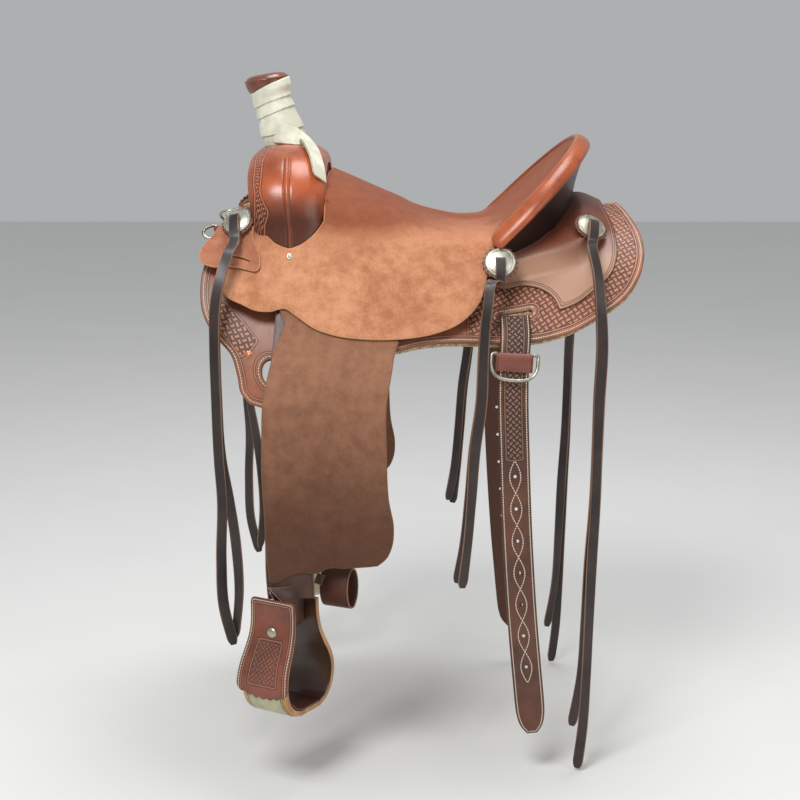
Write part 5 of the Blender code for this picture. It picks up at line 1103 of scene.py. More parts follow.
def tooled_leather(name, light, dark, border=(), beads=(), stamp=None, gloss=0.36,
                   skin_under=srgb(150, 100, 66), stain=0.5, thread=THREAD, hem="edge", shade=None,
                   seam=False, chain=None, depth=1.0):
    """Smooth leather with stitching, bead lines and basket stamping, darker where it is cut in, with
    painted highlights on the stamp's tops, the rim round it and the bead lines.

    border lists the distances of stitch lines from the cut edge, beads of raised lines, and stamp
    is the field that the basket stamp fills, its pitch and its turn, with its colours weaker for a
    lower depth. hem is the field that border and beads keep to, stain the darkness of the cut edge
    and shade a colour of painted light or shade, with the two heights between which it comes in.
    seam draws the grooves of a welted seam, and chain a line of sewn lenses from a first hole on,
    one each pitch.
    """
    finish = Finish(name, Coat_Weight=0.12, Coat_Roughness=0.25, Specular_IOR_Level=0.45)
    edge = finish.distance(hem)
    run = finish.distance("run")
    cloud = finish.noise(14, 4, 0.6)
    grain = finish.noise(900, 3, 0.6)
    colour = finish.mix(finish.step(cloud + grain * 0.15, 0.36, 0.74), dark, light)
    if shade:
        colour = finish.mix(finish.band(shade[1], cloud * 30 - 15) * 0.85, colour, shade[0])
    height = grain * 0.06 + finish.cells(700) * 0.05
    deep = finish.mix(0.62, dark, DEEPEST)
    upper = finish.step(finish.field("face"), 0.55, 0.9)
    if stamp:
        where, pitch, turn = stamp
        area = finish.distance(where)
        if beads:
            area = finish.maths("MINIMUM", area, edge - beads[-1] - 1.6)
        weave = finish.basket(pitch, turn)
        stamped = finish.step(area, 0.0, 0.8) * upper
        height = height + stamped * (weave * 1.1 - 1.1)
        colour = finish.mix(stamped * (1 - finish.step(weave, 0.1, 0.7)) * 0.8 * depth, colour, deep)
        # pale is a painted highlight, laid on the weave's tops and on the raised rim round the stamping
        pale = finish.mix(0.22, light, PAINTED_HIGHLIGHT)
        colour = finish.mix(stamped * finish.step(weave, 0.62, 1.0) * 0.6 * depth, colour, pale)
        rim = finish.line(area, -1.6, 1.3) * upper
        cuts = (finish.line(area, -0.1, 0.6) + finish.line(area, -3.2, 0.7)) * upper
        height = height + rim * 0.5 - cuts * 0.7
        colour = finish.mix(finish.maths("MINIMUM", cuts, 1.0) * 0.8, colour, deep)
        colour = finish.mix(rim * 0.5, colour, pale)
    for distance in beads:
        rim = finish.line(edge, distance, 1.2) * upper
        cuts = (finish.line(edge, distance - 1.5, 0.6) + finish.line(edge, distance + 1.5, 0.6)) * upper
        height = height + rim * 0.5 - cuts * 0.6
        colour = finish.mix(finish.maths("MINIMUM", cuts, 1.0) * 0.7, colour, deep)
        # painted highlight along the top of each bead line
        colour = finish.mix(rim * 0.45, colour, finish.mix(0.3, light, PAINTED_HIGHLIGHT))
    if seam:
        off = finish.distance("seam")
        groove = finish.line(off, 4.4, 1.1)
        colour = finish.mix(groove * 0.85, colour, deep)
        colour = finish.mix(finish.line(off, 0, 2.4) * 0.25, colour, light)
    colour = finish.mix((1 - finish.step(finish.distance("edge"), 0.8, 1.8)) * stain, colour, deep)
    under = finish.under()
    colour = finish.mix(under * 0.9, colour, skin_under)
    rough = gloss + grain * 0.14 + under * 0.3
    for distance in border:
        sewn = finish.stitches(edge, run, distance) * upper
        channel = finish.line(edge, distance, 1.5) * upper
        height = height - channel * 0.35 + sewn * 0.6
        colour = finish.mix(channel * 0.45, colour, deep)
        colour = finish.mix(sewn, colour, thread)
        rough = rough + sewn * 0.3
    if chain:
        off, along_it = finish.flat()
        turn = (along_it - chain[0]) / chain[1] + 0.5
        off = abs(abs(off) - abs(finish.maths("SINE", turn * math.pi)) * 8.0)
        sewn = finish.stitches(off, along_it, 0, 3.8) * upper
        sewn = sewn * finish.step(turn, 0, 0.02) * (1 - finish.step(turn, HOLE_COUNT - 0.02, HOLE_COUNT))
        height = height + sewn * 0.5
        colour = finish.mix(sewn, colour, thread)
    return finish.done(colour, rough, height)


def plain_leather(name, light, dark, gloss=0.3, coat=0.35, cut=None, lines=(), wrinkle=0.0):
    """Smooth dyed leather: cloudy colour, fine pores, an edge of its own and dark creased lines."""
    finish = Finish(name, Coat_Weight=coat, Coat_Roughness=0.18)
    cloud = finish.noise(16, 4, 0.6)
    pores = finish.cells(1100)
    grain = finish.noise(500, 3, 0.6)
    colour = finish.mix(finish.step(cloud + grain * 0.12, 0.38, 0.74), dark, light)
    height = pores * 0.06 + grain * 0.05
    if wrinkle:
        height = height + finish.noise(70, 3, 0.7) * wrinkle
    if lines or cut:
        edge = finish.distance("edge")
        for distance in lines:
            crease = finish.line(edge, distance, 0.8)
            colour = finish.mix(crease * 0.7, colour, BLACKENED)
            height = height - crease * 0.4
        if cut:
            colour = finish.mix((1 - finish.step(edge, 0.5, 1.6)) * 0.75, colour, cut)
    return finish.done(colour, gloss + grain * 0.16, height)


# The view, and the cords

def place_camera():
    """The photograph's camera: square to the left side, a little above it."""
    rise = Vector((0, -math.cos(CAMERA_RISE), math.sin(CAMERA_RISE)))
    camera = bpy.data.objects.new("camera", bpy.data.cameras.new("camera"))
    camera.data.lens = CAMERA_LENS
    camera.location = Vector(CAMERA_AIM) + CAMERA_DISTANCE * rise
    camera.rotation_euler = (Vector(CAMERA_AIM) - camera.location).to_track_quat("-Z", "Y").to_euler()
    bpy.context.scene.collection.objects.link(camera)
    bpy.context.scene.camera = camera


def string_paths(frame, lay):
    """Both tails of a saddle string from where it is folded over the concho's middle."""
    point, normal, down = frame
    start = point + normal * (3 * GAP + ROSETTE_LEATHER + CONCHO_HEIGHT + STRING_LEATHER / 2)
    over = start + normal * STRING_FOLD
    fold = (start + over) / 2 - down * STRING_FOLD
    paths = []
    for base, lay_points in zip((over, start), STRING_LAY[lay]):
        run = [fold + (base - fold) * 0.35, base, base + down * 0.012,
               base + down * 0.024 - normal * 2.0 * MM,
               base + down * 0.032 - normal * 5.0 * MM, *lay_points]
        paths.append(smooth_run(run, 0.006))
    return paths


def saddle_strings(finish):
    """Flat laces with rounded edges; each turns a little about its own line as it hangs."""
    for lay, frame_here in concho_frames().items():
        _, normal, down = frame_here
        over = np.cross(normal, down)
        over *= np.sign(over[0])
        for k, path in enumerate(string_paths(frame_here, lay)):
            away = np.linalg.norm(path - path[0], axis=1)
            share = np.clip(1.5 - away / 0.04, 0, 1)[:, None]
            turn = 0.45 * np.sin(away / 0.085 + 2.1 * k + len(lay)) * (1 - share[:, 0])
            hanging = np.stack([np.cos(turn), np.sin(turn), 0 * turn], -1)
            across = over * share + hanging * (1 - share)
            width = STRING_WIDTH * (1.12 - 0.06 * np.sin(away / 0.05 + k)) * (0.93 if k else 1)
            width[-2:] *= [0.9, 0.55]
            bend = ("saddle", "fender_assembly_SIDE", *STRING_BEND) if lay == "front" else None
            laces = carried(f"{lay}_string_{'inner' if k else 'outer'}_SIDE", path, across,
                            strap_section(width, STRING_LEATHER * 0.85), finish, f"string_{lay}_SIDE",
                            bend=bend)
            for lace, side in zip(laces, SIDES.values()):
                line = path * [1, side, 1]
                line = line[np.linspace(0, len(line) - 1, CORD_POINTS).round().astype(int)]
                length = float(np.linalg.norm(np.diff(line, axis=0), axis=1).sum())
                tuple(line[0])


place_camera()
string_leather = plain_leather("string_leather", srgb(50, 36, 31), srgb(27, 19, 16), 0.36, 0.12,
                               srgb(142, 104, 78))
saddle_strings(string_leather)


# Finishes of this saddle

# the seat goes darker high up, from a height of 38 to 72 mm, and near its middle, fading out from 45 to 130
# mm
seat_leather = rough_leather("rough_out_seat", srgb(206, 147, 110), srgb(166, 104, 72),
                             darkening=(srgb(120, 52, 28), (38, 72), (45, 130)))
jockey_leather = rough_leather("rough_out_jockey", srgb(186, 124, 96), srgb(150, 92, 68))
# the fender goes darker from a height of -150 mm down to -400 mm: painted shade, the lamplight falling off
# towards its foot
fender_leather = rough_leather("rough_out_fender", srgb(156, 110, 84), srgb(126, 86, 65), srgb(128, 90, 66),
                               (srgb(64, 38, 28), (-150, -400)))
skirt_leather = tooled_leather("tooled_skirt", srgb(166, 100, 72), srgb(116, 66, 47), (5.0,), (10.8,),
                               ("stamped", 8.0, math.radians(27)))
# the rear jockey goes paler from a height of 26 mm down to -20 mm: a painted highlight, a soft sheen on its
# lower field
rear_jockey_leather = tooled_leather("smooth_jockey", srgb(118, 60, 38), srgb(84, 40, 26), (), (5.5,),
                                     gloss=0.34, shade=(srgb(184, 140, 114), (26, -20)))
# the fork goes darker from a height of 112 mm down to 45 mm: painted shade on the lower swells
fork_leather = tooled_leather("glossy_fork", srgb(178, 88, 48), srgb(134, 62, 34), (), (),
                              ("stamped", 4.6, 0.6), 0.2,
                              stain=0.7, shade=(srgb(56, 26, 15), (112, 45)), seam=True)
cap_leather = plain_leather("glossy_cap", srgb(166, 84, 48), srgb(96, 46, 27), 0.2, 0.5)
roll_leather = tooled_leather("glossy_roll", srgb(176, 88, 47), srgb(132, 58, 29), (3.6,), (), None, 0.22,
                              stain=0.3, thread=srgb(206, 150, 96))
back_leather = plain_leather("dark_back", srgb(38, 20, 15), srgb(19, 11, 9), 0.3, 0.2, wrinkle=0.4)
plate_leather = plain_leather("plain_skirting", srgb(150, 98, 66), srgb(108, 66, 44), 0.5, 0.1)
billet_leather = tooled_leather("dark_billet", srgb(100, 58, 42), srgb(66, 36, 26), (3.5,), (),
                                ("ladder", 6.4, 0.785),
                                skin_under=srgb(84, 52, 38), hem="hem", chain=(240.0, 48.51))
strap_leather = plain_leather("dark_strap", srgb(88, 48, 33), srgb(54, 30, 21), 0.4, 0.15,
                              srgb(140, 94, 66), (3.0,))
keeper_leather = plain_leather("reddish_keeper", srgb(124, 66, 48), srgb(88, 46, 34), 0.35, 0.3, None,
                               (2.2,))
cover_leather = tooled_leather("stirrup_leather_cover", srgb(136, 74, 54), srgb(94, 50, 37), (3.6,), (7.2,),
                               ("stamped", 5.0, 0.785), hem="hem", depth=0.4)
tread_leather = plain_leather("tread_leather", srgb(84, 36, 24), srgb(48, 22, 14), 0.35, 0.2, None, (4.0,))


def rosette_finish():
    """Dark washer leather, paler on its scallops, with a cut between each and the next."""
    finish = Finish("scalloped_rosette", Coat_Weight=0.2, Coat_Roughness=0.3)
    reach = finish.distance("reach")
    x, y = finish.flat()
    wave = abs(finish.maths("SINE", finish.maths("ARCTAN2", y, x) * (ROSETTE_SCALLOPS / 2)))
    cut = (1 - finish.step(wave, 0.1, 0.45)) * finish.step(reach, 21.8, 23.2)
    colour = finish.mix(finish.noise(60), srgb(92, 54, 40), srgb(150, 96, 72))
    colour = finish.mix(cut * 0.9, colour, srgb(40, 22, 16))
    return finish.done(colour, 0.45, (1 - cut) * 0.7 + finish.noise(700) * 0.05)


rosette_leather = rosette_finish()


def rawhide_finish():
    """Rawhide over wood: pale amber, mottled, with fine wrinkles and a varnished gloss."""
    finish = Finish("rawhide", Coat_Weight=0.4, Coat_Roughness=0.2)
    cloud = finish.noise(12, 4, 0.6)
    wrinkle = finish.noise(60, 5, 0.7)
    colour = finish.mix(finish.step(cloud * 0.6 + wrinkle * 0.4, 0.35, 0.7), srgb(150, 112, 66),
                        srgb(206, 172, 118))
    return finish.done(colour, 0.35 + wrinkle * 0.2, wrinkle * 1.2)


def mulehide_finish():
    """Soft chrome-tanned hide, off white, with painted shade: a little grey along each edge, where each
    turn overlaps the next.
    """
    finish = Finish("mulehide", Sheen_Weight=0.2, Specular_IOR_Level=0.3)
    cloud = finish.noise(30, 4, 0.6)
    nap = finish.noise(600, 3, 0.6)
    edge = finish.distance("edge")
    colour = finish.mix(finish.step(cloud, 0.4, 0.7), srgb(205, 204, 184), srgb(232, 232, 212))
    # painted shade: greyer within a millimetre of each edge, at the lips where the turns overlap
    colour = finish.mix((1 - finish.step(edge, 0.1, 0.8)) * 0.35, colour, srgb(120, 112, 96))
    return finish.done(colour, 0.7 + nap * 0.15, nap * 0.2 + cloud * 0.5)


def metal_finish(name, light, dark, rough, lines=None, engraved=False, metallic=1.0):
    """Worn metal: cloudy tarnish and fine scratches; engraving is two rings with dots between."""
    finish = Finish(name, Metallic=metallic)
    cloud = finish.noise(45, 4, 0.6)
    scratch = finish.noise(700, 2, 0.5, finish.spread(finish.place(), (1, 1, 7)))
    colour = finish.mix(finish.step(cloud, 0.38, 0.7), dark, light)
    height = scratch * 0.04
    if lines:
        edge = finish.distance("edge")
        for distance in lines:
            groove = finish.line(edge, distance, 0.9)
            colour = finish.mix(groove * 0.85, colour, (0.01, 0.009, 0.006))
            height = height - groove * 0.4
    if engraved:
        reach = finish.distance("reach")
        x, y = finish.flat()
        turn = finish.maths("ARCTAN2", y, x)
        dots = finish.line(reach, 19.2, 1.1) * finish.step(abs(finish.maths("SINE", turn * 24)), 0.3, 0.7)
        cut = finish.line(reach, 20.7, 0.5) + finish.line(reach, 17.6, 0.4) + dots * 0.6
        cut = finish.maths("MINIMUM", cut, 1.0)
        colour = finish.mix(cut * 0.45, colour, (0.08, 0.07, 0.05))
        height = height - cut * 0.25
    return finish.done(colour, rough + cloud * 0.15, height)


def wool_finish():
    """Sheared sheepskin: curled locks a few millimetres wide, cream with tan tips."""
    finish = Finish("wool", Sheen_Weight=0.4, Specular_IOR_Level=0.1)
    warp = finish.noise(120, 3, 0.6)
    locks = finish.cells(210)
    fibre = finish.noise(900, 4, 0.7)
    share = finish.step(locks * 0.9 + warp * 0.5, 0.35, 0.95)
    colour = finish.mix(share, srgb(214, 190, 146), srgb(160, 128, 88))
    return finish.done(colour, 0.95, fibre * 0.8 - locks * 2.2 + warp * 1.5)


def wood_finish(name, light, dark):
    """Varnished plies: grain drawn out along the piece, glue lines, and painted shade that draws the inner
    face dark.
    """
    finish = Finish(name, Coat_Weight=0.3, Coat_Roughness=0.2)
    grain = finish.noise(1, 5, 0.6, finish.spread(finish.place(), (60, 60, 9)))
    colour = finish.mix(finish.step(grain, 0.38, 0.66), dark, light)
    share = finish.field("share")
    ply = finish.line(finish.maths("FRACT", share * 5), 0.5, 0.22)
    colour = finish.mix(ply * 0.55, colour, srgb(120, 76, 40))
    # painted shade: the face inside the stirrup's opening drawn nearly black brown
    inner = 1 - finish.step(share, 0.06, 0.14)
    colour = finish.mix(inner * 0.95, colour, srgb(46, 20, 12))
    return finish.done(colour, 0.4 + grain * 0.15, grain * 0.2)


rawhide = rawhide_finish()
mulehide = mulehide_finish()
silver = metal_finish("lined_silver", srgb(226, 226, 212), srgb(178, 176, 158), 0.3, engraved=True)
steel = metal_finish("nickelled_steel", srgb(196, 194, 180), srgb(130, 126, 112), 0.28)
binding = metal_finish("dull_binding", srgb(196, 192, 160), srgb(172, 167, 136), 0.4, (2.4,), metallic=0.35)
copper = metal_finish("copper_rivet", srgb(224, 164, 128), srgb(176, 112, 82), 0.34)
wool = wool_finish()
stirrup_wood = wood_finish("laminated_wood", srgb(208, 158, 98), srgb(168, 118, 66))


# Tree, plates and sheepskin

def lay(place, base=0.0):
    """Adds a base lift to a surface that takes one."""
    return lambda a, b, lift: place(a, b, base + lift)


def rounded_slot(x, y, half_x, half_y):
    """Flat outline of a slot with round ends."""
    turn = full_turn(32)
    corner = min(half_x, half_y)
    return np.stack([x + np.sign(np.cos(turn)) * (half_x - corner) + corner * np.cos(turn),
                     y + np.sign(np.sin(turn)) * (half_y - corner) + corner * np.sin(turn)], -1)


def largest(*fields):
    """Field that is the greatest of others at each point."""
    return lambda flat, edge: np.max([field(flat, edge) for field in fields], axis=0)


def fleece():
    """Sheepskin below the skirts, its locks raised by waves of fixed random directions."""
    loop = outline([SKIRT_REAR, FLEECE_FRONT, FLEECE_NOSE, SKIRT_TOP, [SKIRT_TOP[-1], SKIRT_REAR[0]]],
                   0.004)
    rng = np.random.default_rng(7)
    waves = rng.normal(0, 1, (26, 2))
    waves *= (rng.uniform(320, 800, 26) / np.linalg.norm(waves, axis=1))[:, None]
    phase = rng.uniform(0, 6.3, 26)

    def place(x, s, lift):
        """Locks: a sum of short waves in many directions lifts the wool at its sides and below."""
        wave = np.sin(x[:, None] * waves[:, 0] + s[:, None] * waves[:, 1] + phase).sum(1) / 7
        low = np.clip(1 - lift / FLEECE, 0, 1)
        return on_back(x, s, lift - SKIRT_LEATHER - GAP - FLEECE - 1.1 * MM * wave * low)
    leather("fleece_SIDE", loop, [], place, FLEECE, FINE_PITCH, wool, "sheepskin_SIDE")


def plates():
    """Rigging plates behind the skirts, each with its ring's hole."""
    loop = outline([RIG_PLATE, RIG_PLATE_FOOT], EDGE_STEP)
    leather("plate_SIDE", loop, [oval(*RIG_HOLE, 48)], lay(on_back, -SKIRT_LEATHER - GAP - PLATE_LEATHER),
            PLATE_LEATHER, 0.008, plate_leather, "rigging_plate_SIDE")


# Skirts and jockeys

FRONT_PANEL = [(-0.2735, 0.2579), (-0.2545, 0.2577), (-0.2426, 0.2671), (-0.2076, 0.3038),
               (-0.2162, 0.318), (-0.2308, 0.3326), (-0.2476, 0.3102), (-0.2626, 0.3016)]
REAR_PANEL = [(0.1, 0.0), (0.4, 0.0), (0.4, 0.4), (0.1, 0.4)]


def skirts():
    """Tooled skirts; the rings' holes and the billets' slots go through them."""
    loop = outline([SKIRT_REAR, SKIRT_LOBE[:7], SKIRT_LOBE[6:], SKIRT_TOP, [SKIRT_TOP[-1], SKIRT_REAR[0]]],
                   EDGE_STEP)
    holes = [oval(*RIG_HOLE, 56), rounded_slot(*BILLET_SLOT)]
    leather("skirt_cover_SIDE", loop, holes, lay(on_back, -SKIRT_LEATHER), SKIRT_LEATHER, FINE_PITCH,
            skirt_leather, "skirt_SIDE", {"stamped": largest(within(FRONT_PANEL), within(REAR_PANEL))})


def rear_jockeys():
    """Smooth jockeys from the foot of the cantle's back to the rear skirts."""
    base = []
    for angle in np.linspace(0, ROLL_END, 9):
        place = base_point(angle, 0.0)
        half = max(place[1], 0.0)
        s = float(arc_from_y(place[0], half)) if half > 0.016 else half
        base.append((place[0] - 0.008, max(s, 0.003) - 0.006 * math.sin(angle)))
    loop = outline([JOCKEY_FIELD, JOCKEY_REAR, [JOCKEY_REAR[-1], base[0]], base,
                    [base[-1], JOCKEY_FIELD[0]]], EDGE_STEP)
    leather("rear_jockey_cover_SIDE", loop, [], lambda x, s, lift: on_back(x, s, shelf_height(x, s) + lift),
            JOCKEY_LEATHER, 0.005, rear_jockey_leather, "rear_jockey_SIDE")


def front_jockeys():
    """Slotted ears under the front conchos."""
    loop = outline([FRONT_JOCKEY], 0.002)
    slot = outline([[JOCKEY_SLOT[k], JOCKEY_SLOT[(k + 1) % 4]] for k in range(4)], EDGE_STEP)
    leather("front_jockey_cover_SIDE", loop, [slot], lay(on_flap, FRONT_LIFT), JOCKEY_LEATHER, 0.003,
            jockey_leather, "front_jockey_SIDE")


# Seat

def seat():
    """Outline of both halves; the surface runs over the dish, the shoulders and down the flaps."""
    half = list(smooth_run([(-0.1035, 0.0), (-0.1065, 0.03), (-0.1085, 0.06), (-0.1095, 0.09),
                            (-0.11, 0.13), (-0.1105, 0.165)], 0.003))[:-1]
    half += [(x, flap_w(v, x)) for x, v in smooth_run(NOTCH, EDGE_STEP)]
    for run in (EAR_FRONT, FLAP_EDGE, FLAP_CORNER):
        half += [(x, flap_w(v, x)) for x, v in smooth_run(run, EDGE_STEP)][1:]
    half += [(RIM_X + RIM_DEPTH * math.cos(t) * 0.999, SEAT_HALF * math.sin(t) * 0.999)
             for t in np.radians(np.linspace(88, 0, 80))]
    half = np.array(half)
    loop = np.concatenate([half, half[-2:0:-1] * [1, -1]])
    surface = raised(on_seat, (0, 0, 1))
    leather("seat_cover", loop, [], lay(surface, -SEAT_LEATHER), SEAT_LEATHER, 0.0045, seat_leather, "seat")


# Fork, horn and cantle

def shell(name, grid, centre, thickness, finish, nodes, lift=0.0, **fields):
    """Leather on a grid of points: out along the grid's normals, its four cut edges rounded."""
    normal = np.cross(np.gradient(grid, axis=0), np.gradient(grid, axis=1))
    normal /= np.maximum(np.linalg.norm(normal, axis=2), 1e-12)[..., None]
    normal *= np.where(((grid - centre) * normal).sum(2) < 0, -1, 1)[..., None]
    reach = []
    for axis in (0, 1):
        way = np.linalg.norm(np.diff(grid, axis=axis), axis=2)
        way = np.concatenate([np.zeros_like(np.take(way, [0], axis)), np.cumsum(way, axis)], axis)
        reach.append((way, np.take(way, [-1], axis) - way))
    edge = np.min([*reach[0], *reach[1]], axis=0)
    radius = thickness / 2
    round_off = np.sqrt(np.maximum(radius ** 2 - (radius - np.minimum(edge, radius)) ** 2, 0))
    outer = grid + normal * (radius + round_off + lift)[..., None]
    inner = grid + normal * (radius - round_off + np.minimum(lift, 0))[..., None]
    rows, columns = grid.shape[:2]
    count = rows * columns
    faces = grid_faces(rows, columns)
    number = np.arange(count).reshape(rows, columns)
    rim = np.concatenate([number[0], number[1:, -1], number[-1, -2::-1], number[-2:0:-1, 0]])
    after = np.roll(rim, -1)
    sides = np.stack([rim, after, after + count, rim + count], -1)
    flat = np.stack([reach[1][0] - reach[1][1], reach[0][0] - reach[0][1]], -1).reshape(-1, 2) / 2
    both = {key: np.tile(np.ravel(value), 2) for key, value in fields.items()}
    points = np.concatenate([outer.reshape(-1, 3), inner.reshape(-1, 3)])
    blocks = [faces, faces[:, ::-1] + count, sides[:, ::-1]]
    return piece(name, points, blocks, finish, nodes, np.tile(flat, (2, 1)), 60,
                 edge=np.tile(edge.ravel(), 2),
                 run=np.tile(reach[0][0].ravel(), 2), face=np.repeat([1.0, 0.0], count), **both)


BAND_FRONT = [(0.0849, -0.2117), (0.106, -0.2143), (0.1479, -0.2131)]
BAND_BACK = [(0.0425, -0.195), (0.061, -0.19), (0.0737, -0.1961), (0.0922, -0.202), (0.106, -0.2011),
             (0.1265, -0.2008), (0.1526, -0.1908)]


def fork_cover():
    """The fork's oval section swept from foot to foot, with a welted seam down each swell."""
    ends = np.array([0, 0.003, 0.008, 0.016, 0.026])
    across = np.linspace(-0.965, 0.965, 121)
    across = np.concatenate([-1 + ends, np.sign(across) * np.abs(across) ** 1.35, (1 - ends)[::-1]])
    shares = np.concatenate([-1 + ends, np.linspace(-0.965, 0.965, 181), (1 - ends)[::-1]])
    wrap = [(0.6, 142), (0.78, 108), (0.9, 86), (1, 80)]
    reach = np.radians(along(np.abs(shares), wrap))
    rows = np.array([fork_section(t, 0.0, a * across) for t, a in zip(shares, reach)])
    seam_x = along(np.abs(shares), FORK_X)[:, None] + 0.001
    off = (rows[..., 0] - seam_x) / MM
    strength = smooth_step((np.abs(shares) - 0.475) / 0.03)[:, None]
    bead = np.exp(-(off / 2.1) ** 4) * 1.5 - np.exp(-((np.abs(off) - 4.4) / 0.9) ** 2) * 0.8
    x, z = rows[..., 0], rows[..., 2]
    band = np.minimum(x - along(z, BAND_FRONT), along(z, BAND_BACK) - x)
    band = np.minimum(band, (z - 0.022) * 0.8)
    shell("fork_leather", rows, (-0.165, 0, 0.02), COVER_LEATHER, fork_leather, "fork_cover",
          bead * strength * MM, stamped=band - 0.003, seam=np.abs(off) * MM + (1 - strength) * 0.02)


def horn():
    """Domed cap with a rolled rim, the wrap below it and the wrap's tail."""
    tilt = Matrix.Translation(HORN_BASE) @ Matrix.Rotation(-HORN_LEAN, 4, "Y")
    top = HORN_HEIGHT
    inner = HORN_CAP_RADIUS + GAP
    outer = inner + COVER_LEATHER
    dome = smooth_run([(0, top + 9.5 * MM), (outer - 20 * MM, top + 9.2 * MM),
                       (outer - 12 * MM, top + 8.4 * MM),
                       (outer - 5 * MM, top + 6.2 * MM), (outer - 1.6 * MM, top + 3.2 * MM)], 0.0015)
    rim = smooth_run([(outer - 1.6 * MM, top + 3.2 * MM), (outer + 0.3 * MM, top + 1.8 * MM),
                      (outer, top - 0.4 * MM),
                      (outer - 0.8 * MM, top - 1.4 * MM), (outer - 0.4 * MM, top - 2.4 * MM),
                      (outer - 0.8 * MM, top - 5 * MM),
                      (outer - 1.4 * MM, top - 8 * MM), (outer - 2.4 * MM, top - 11.8 * MM)], 0.0008)
    under = [(0.029, top - 16 * MM), (0.0262, top - 19 * MM), (0.024, top - 24 * MM),
             (0.022, top - 23 * MM),
             (inner - 4 * MM, top - 5 * MM), (inner - 4 * MM, top + 3 * MM), (0, top + 5 * MM + GAP)]
    level = tilt @ Matrix.Translation((0, 0, top)) @ Matrix.Rotation(CAP_TURN, 4, "Y")
    level = level @ Matrix.Translation((0, 0, CAP_RISE - top))
    turned("horn_cap_leather", [*dome, *rim[1:], *under], level, cap_leather, "horn_cap_cover", 96)
    wrap_sleeve(tilt)
    wrap_tail()


WRAP_RADIUS = [(0.01, 0.0335), (0.031, 0.0322), (0.045, 0.0312), (0.0625, 0.0285), (0.08, 0.0272),
               (0.098, 0.028), (0.125, 0.0285)]
WRAP_EDGES = [(0.031, -0.0015), (0.0625, 0.0025), (0.0795, 0.0025)]    # height, rise to the rear


def wrap_sleeve(tilt):
    """Hide wound on the horn in three turns over a base layer, from the fork to the cap.

    Each turn's radius steps up at its lower edge and eases back above it. The lowest edge follows
    the fork's oval top, found by repeated substitution, and the highest one rises behind the cap.
    """
    turn = full_turn(144)[None]
    rear = np.cos(turn)
    sine, cosine = math.sin(HORN_LEAN), math.cos(HORN_LEAN)
    oval_x, oval_length, oval_z, oval_rise = FORK_OVAL
    foot = np.full_like(turn, 0.014)
    for _ in range(8):
        x = HORN_BASE[0] + WRAP_FOOT * rear * cosine - foot * sine
        over = oval_z + oval_rise * np.sqrt(np.maximum(1 - ((x - oval_x) / oval_length) ** 2, 0))
        over = over - 0.002 * np.sin(turn) ** 2
        foot = (over + 0.0012 - HORN_BASE[2] - WRAP_FOOT * rear * sine) / cosine
    top = 0.1055 + 0.0035 * rear
    height = foot + (top - foot) * np.linspace(0, 1, 200)[:, None]
    radius = along(height, WRAP_RADIUS)
    radius = radius + 0.0056 * smooth_step((height - 0.086) / 0.014) * (0.5 + 0.5 * rear) ** 0.8
    edge = top - height + 0.0004
    for mean, rise in WRAP_EDGES:
        above = height - mean - rise * rear - 0.0006 * np.sin(2 * turn + 60 * mean)
        swell = smooth_step(above / 0.0008) * (1 - 0.8 * np.clip(above / 0.018, 0, 1))
        radius = radius + WRAP_LAYER * swell
        edge = np.where(above > 0, np.minimum(edge, above), edge)
    radius = radius + 0.3 * MM * np.sin(3 * turn + 55 * height)
    radius = radius - 1.2 * MM * smooth_step((height - top + 0.002) / 0.002)
    inner = np.maximum(radius[::-8] - 2.4 * MM, HORN_NECK + GAP)
    grid = np.concatenate([np.stack([r * np.cos(turn), r * np.sin(turn), h], -1)
                           for r, h in ((radius, height), (inner, height[::-8]))])
    rows, columns = grid.shape[:2]
    edge = np.concatenate([edge, np.full((len(inner), columns), 0.005)])
    piece("horn_wrap_turns", moved(grid.reshape(-1, 3), tilt), [grid_faces(rows, columns, True, True)],
          mulehide, "horn_wrap", None, 40, edge=edge.ravel())


def wrap_tail():
    """Two straps of the same hide, one on the other, over the fork's back to its left swell."""
    for k, lift in enumerate((COVER_LEATHER + 1.7 * MM, COVER_LEATHER + 4.3 * MM)):
        rise = 0.0015 * k
        path = [np.array([-0.19, -0.03, 0.17]), np.array([-0.176, -0.0365 - rise, 0.167 + rise]),
                np.array([-0.16, -0.0375 - rise, 0.164 + rise])]
        proud = [np.array([-0.35, -0.93, 0.1]), np.array([0, -0.98, 0.2]), np.array([0.25, -0.87, 0.42])]
        for t, a in WRAP_TAIL[:5 + k]:
            here = fork_section(-t, lift, np.radians([a]))[0]
            above = fork_section(-t, lift + MM, np.radians([a]))[0]
            path.append(here)
            proud.append(unit(above - here))
        rows = smooth_run(np.concatenate([path, proud], 1), 0.003)
        path, proud = rows[:, :3], rows[:, 3:]
        across = np.cross(np.gradient(path, axis=0), proud)
        width = np.interp(np.arange(len(path)), [0, 8, 16, len(path) - 1],
                          [0.018, 0.024, 0.029, 0.026 + 0.002 * k])
        carried(f"wrap_tail_{k + 1}", path, across, strap_section(width, WRAP_LAYER, 0.6), mulehide,
                "horn_wrap")


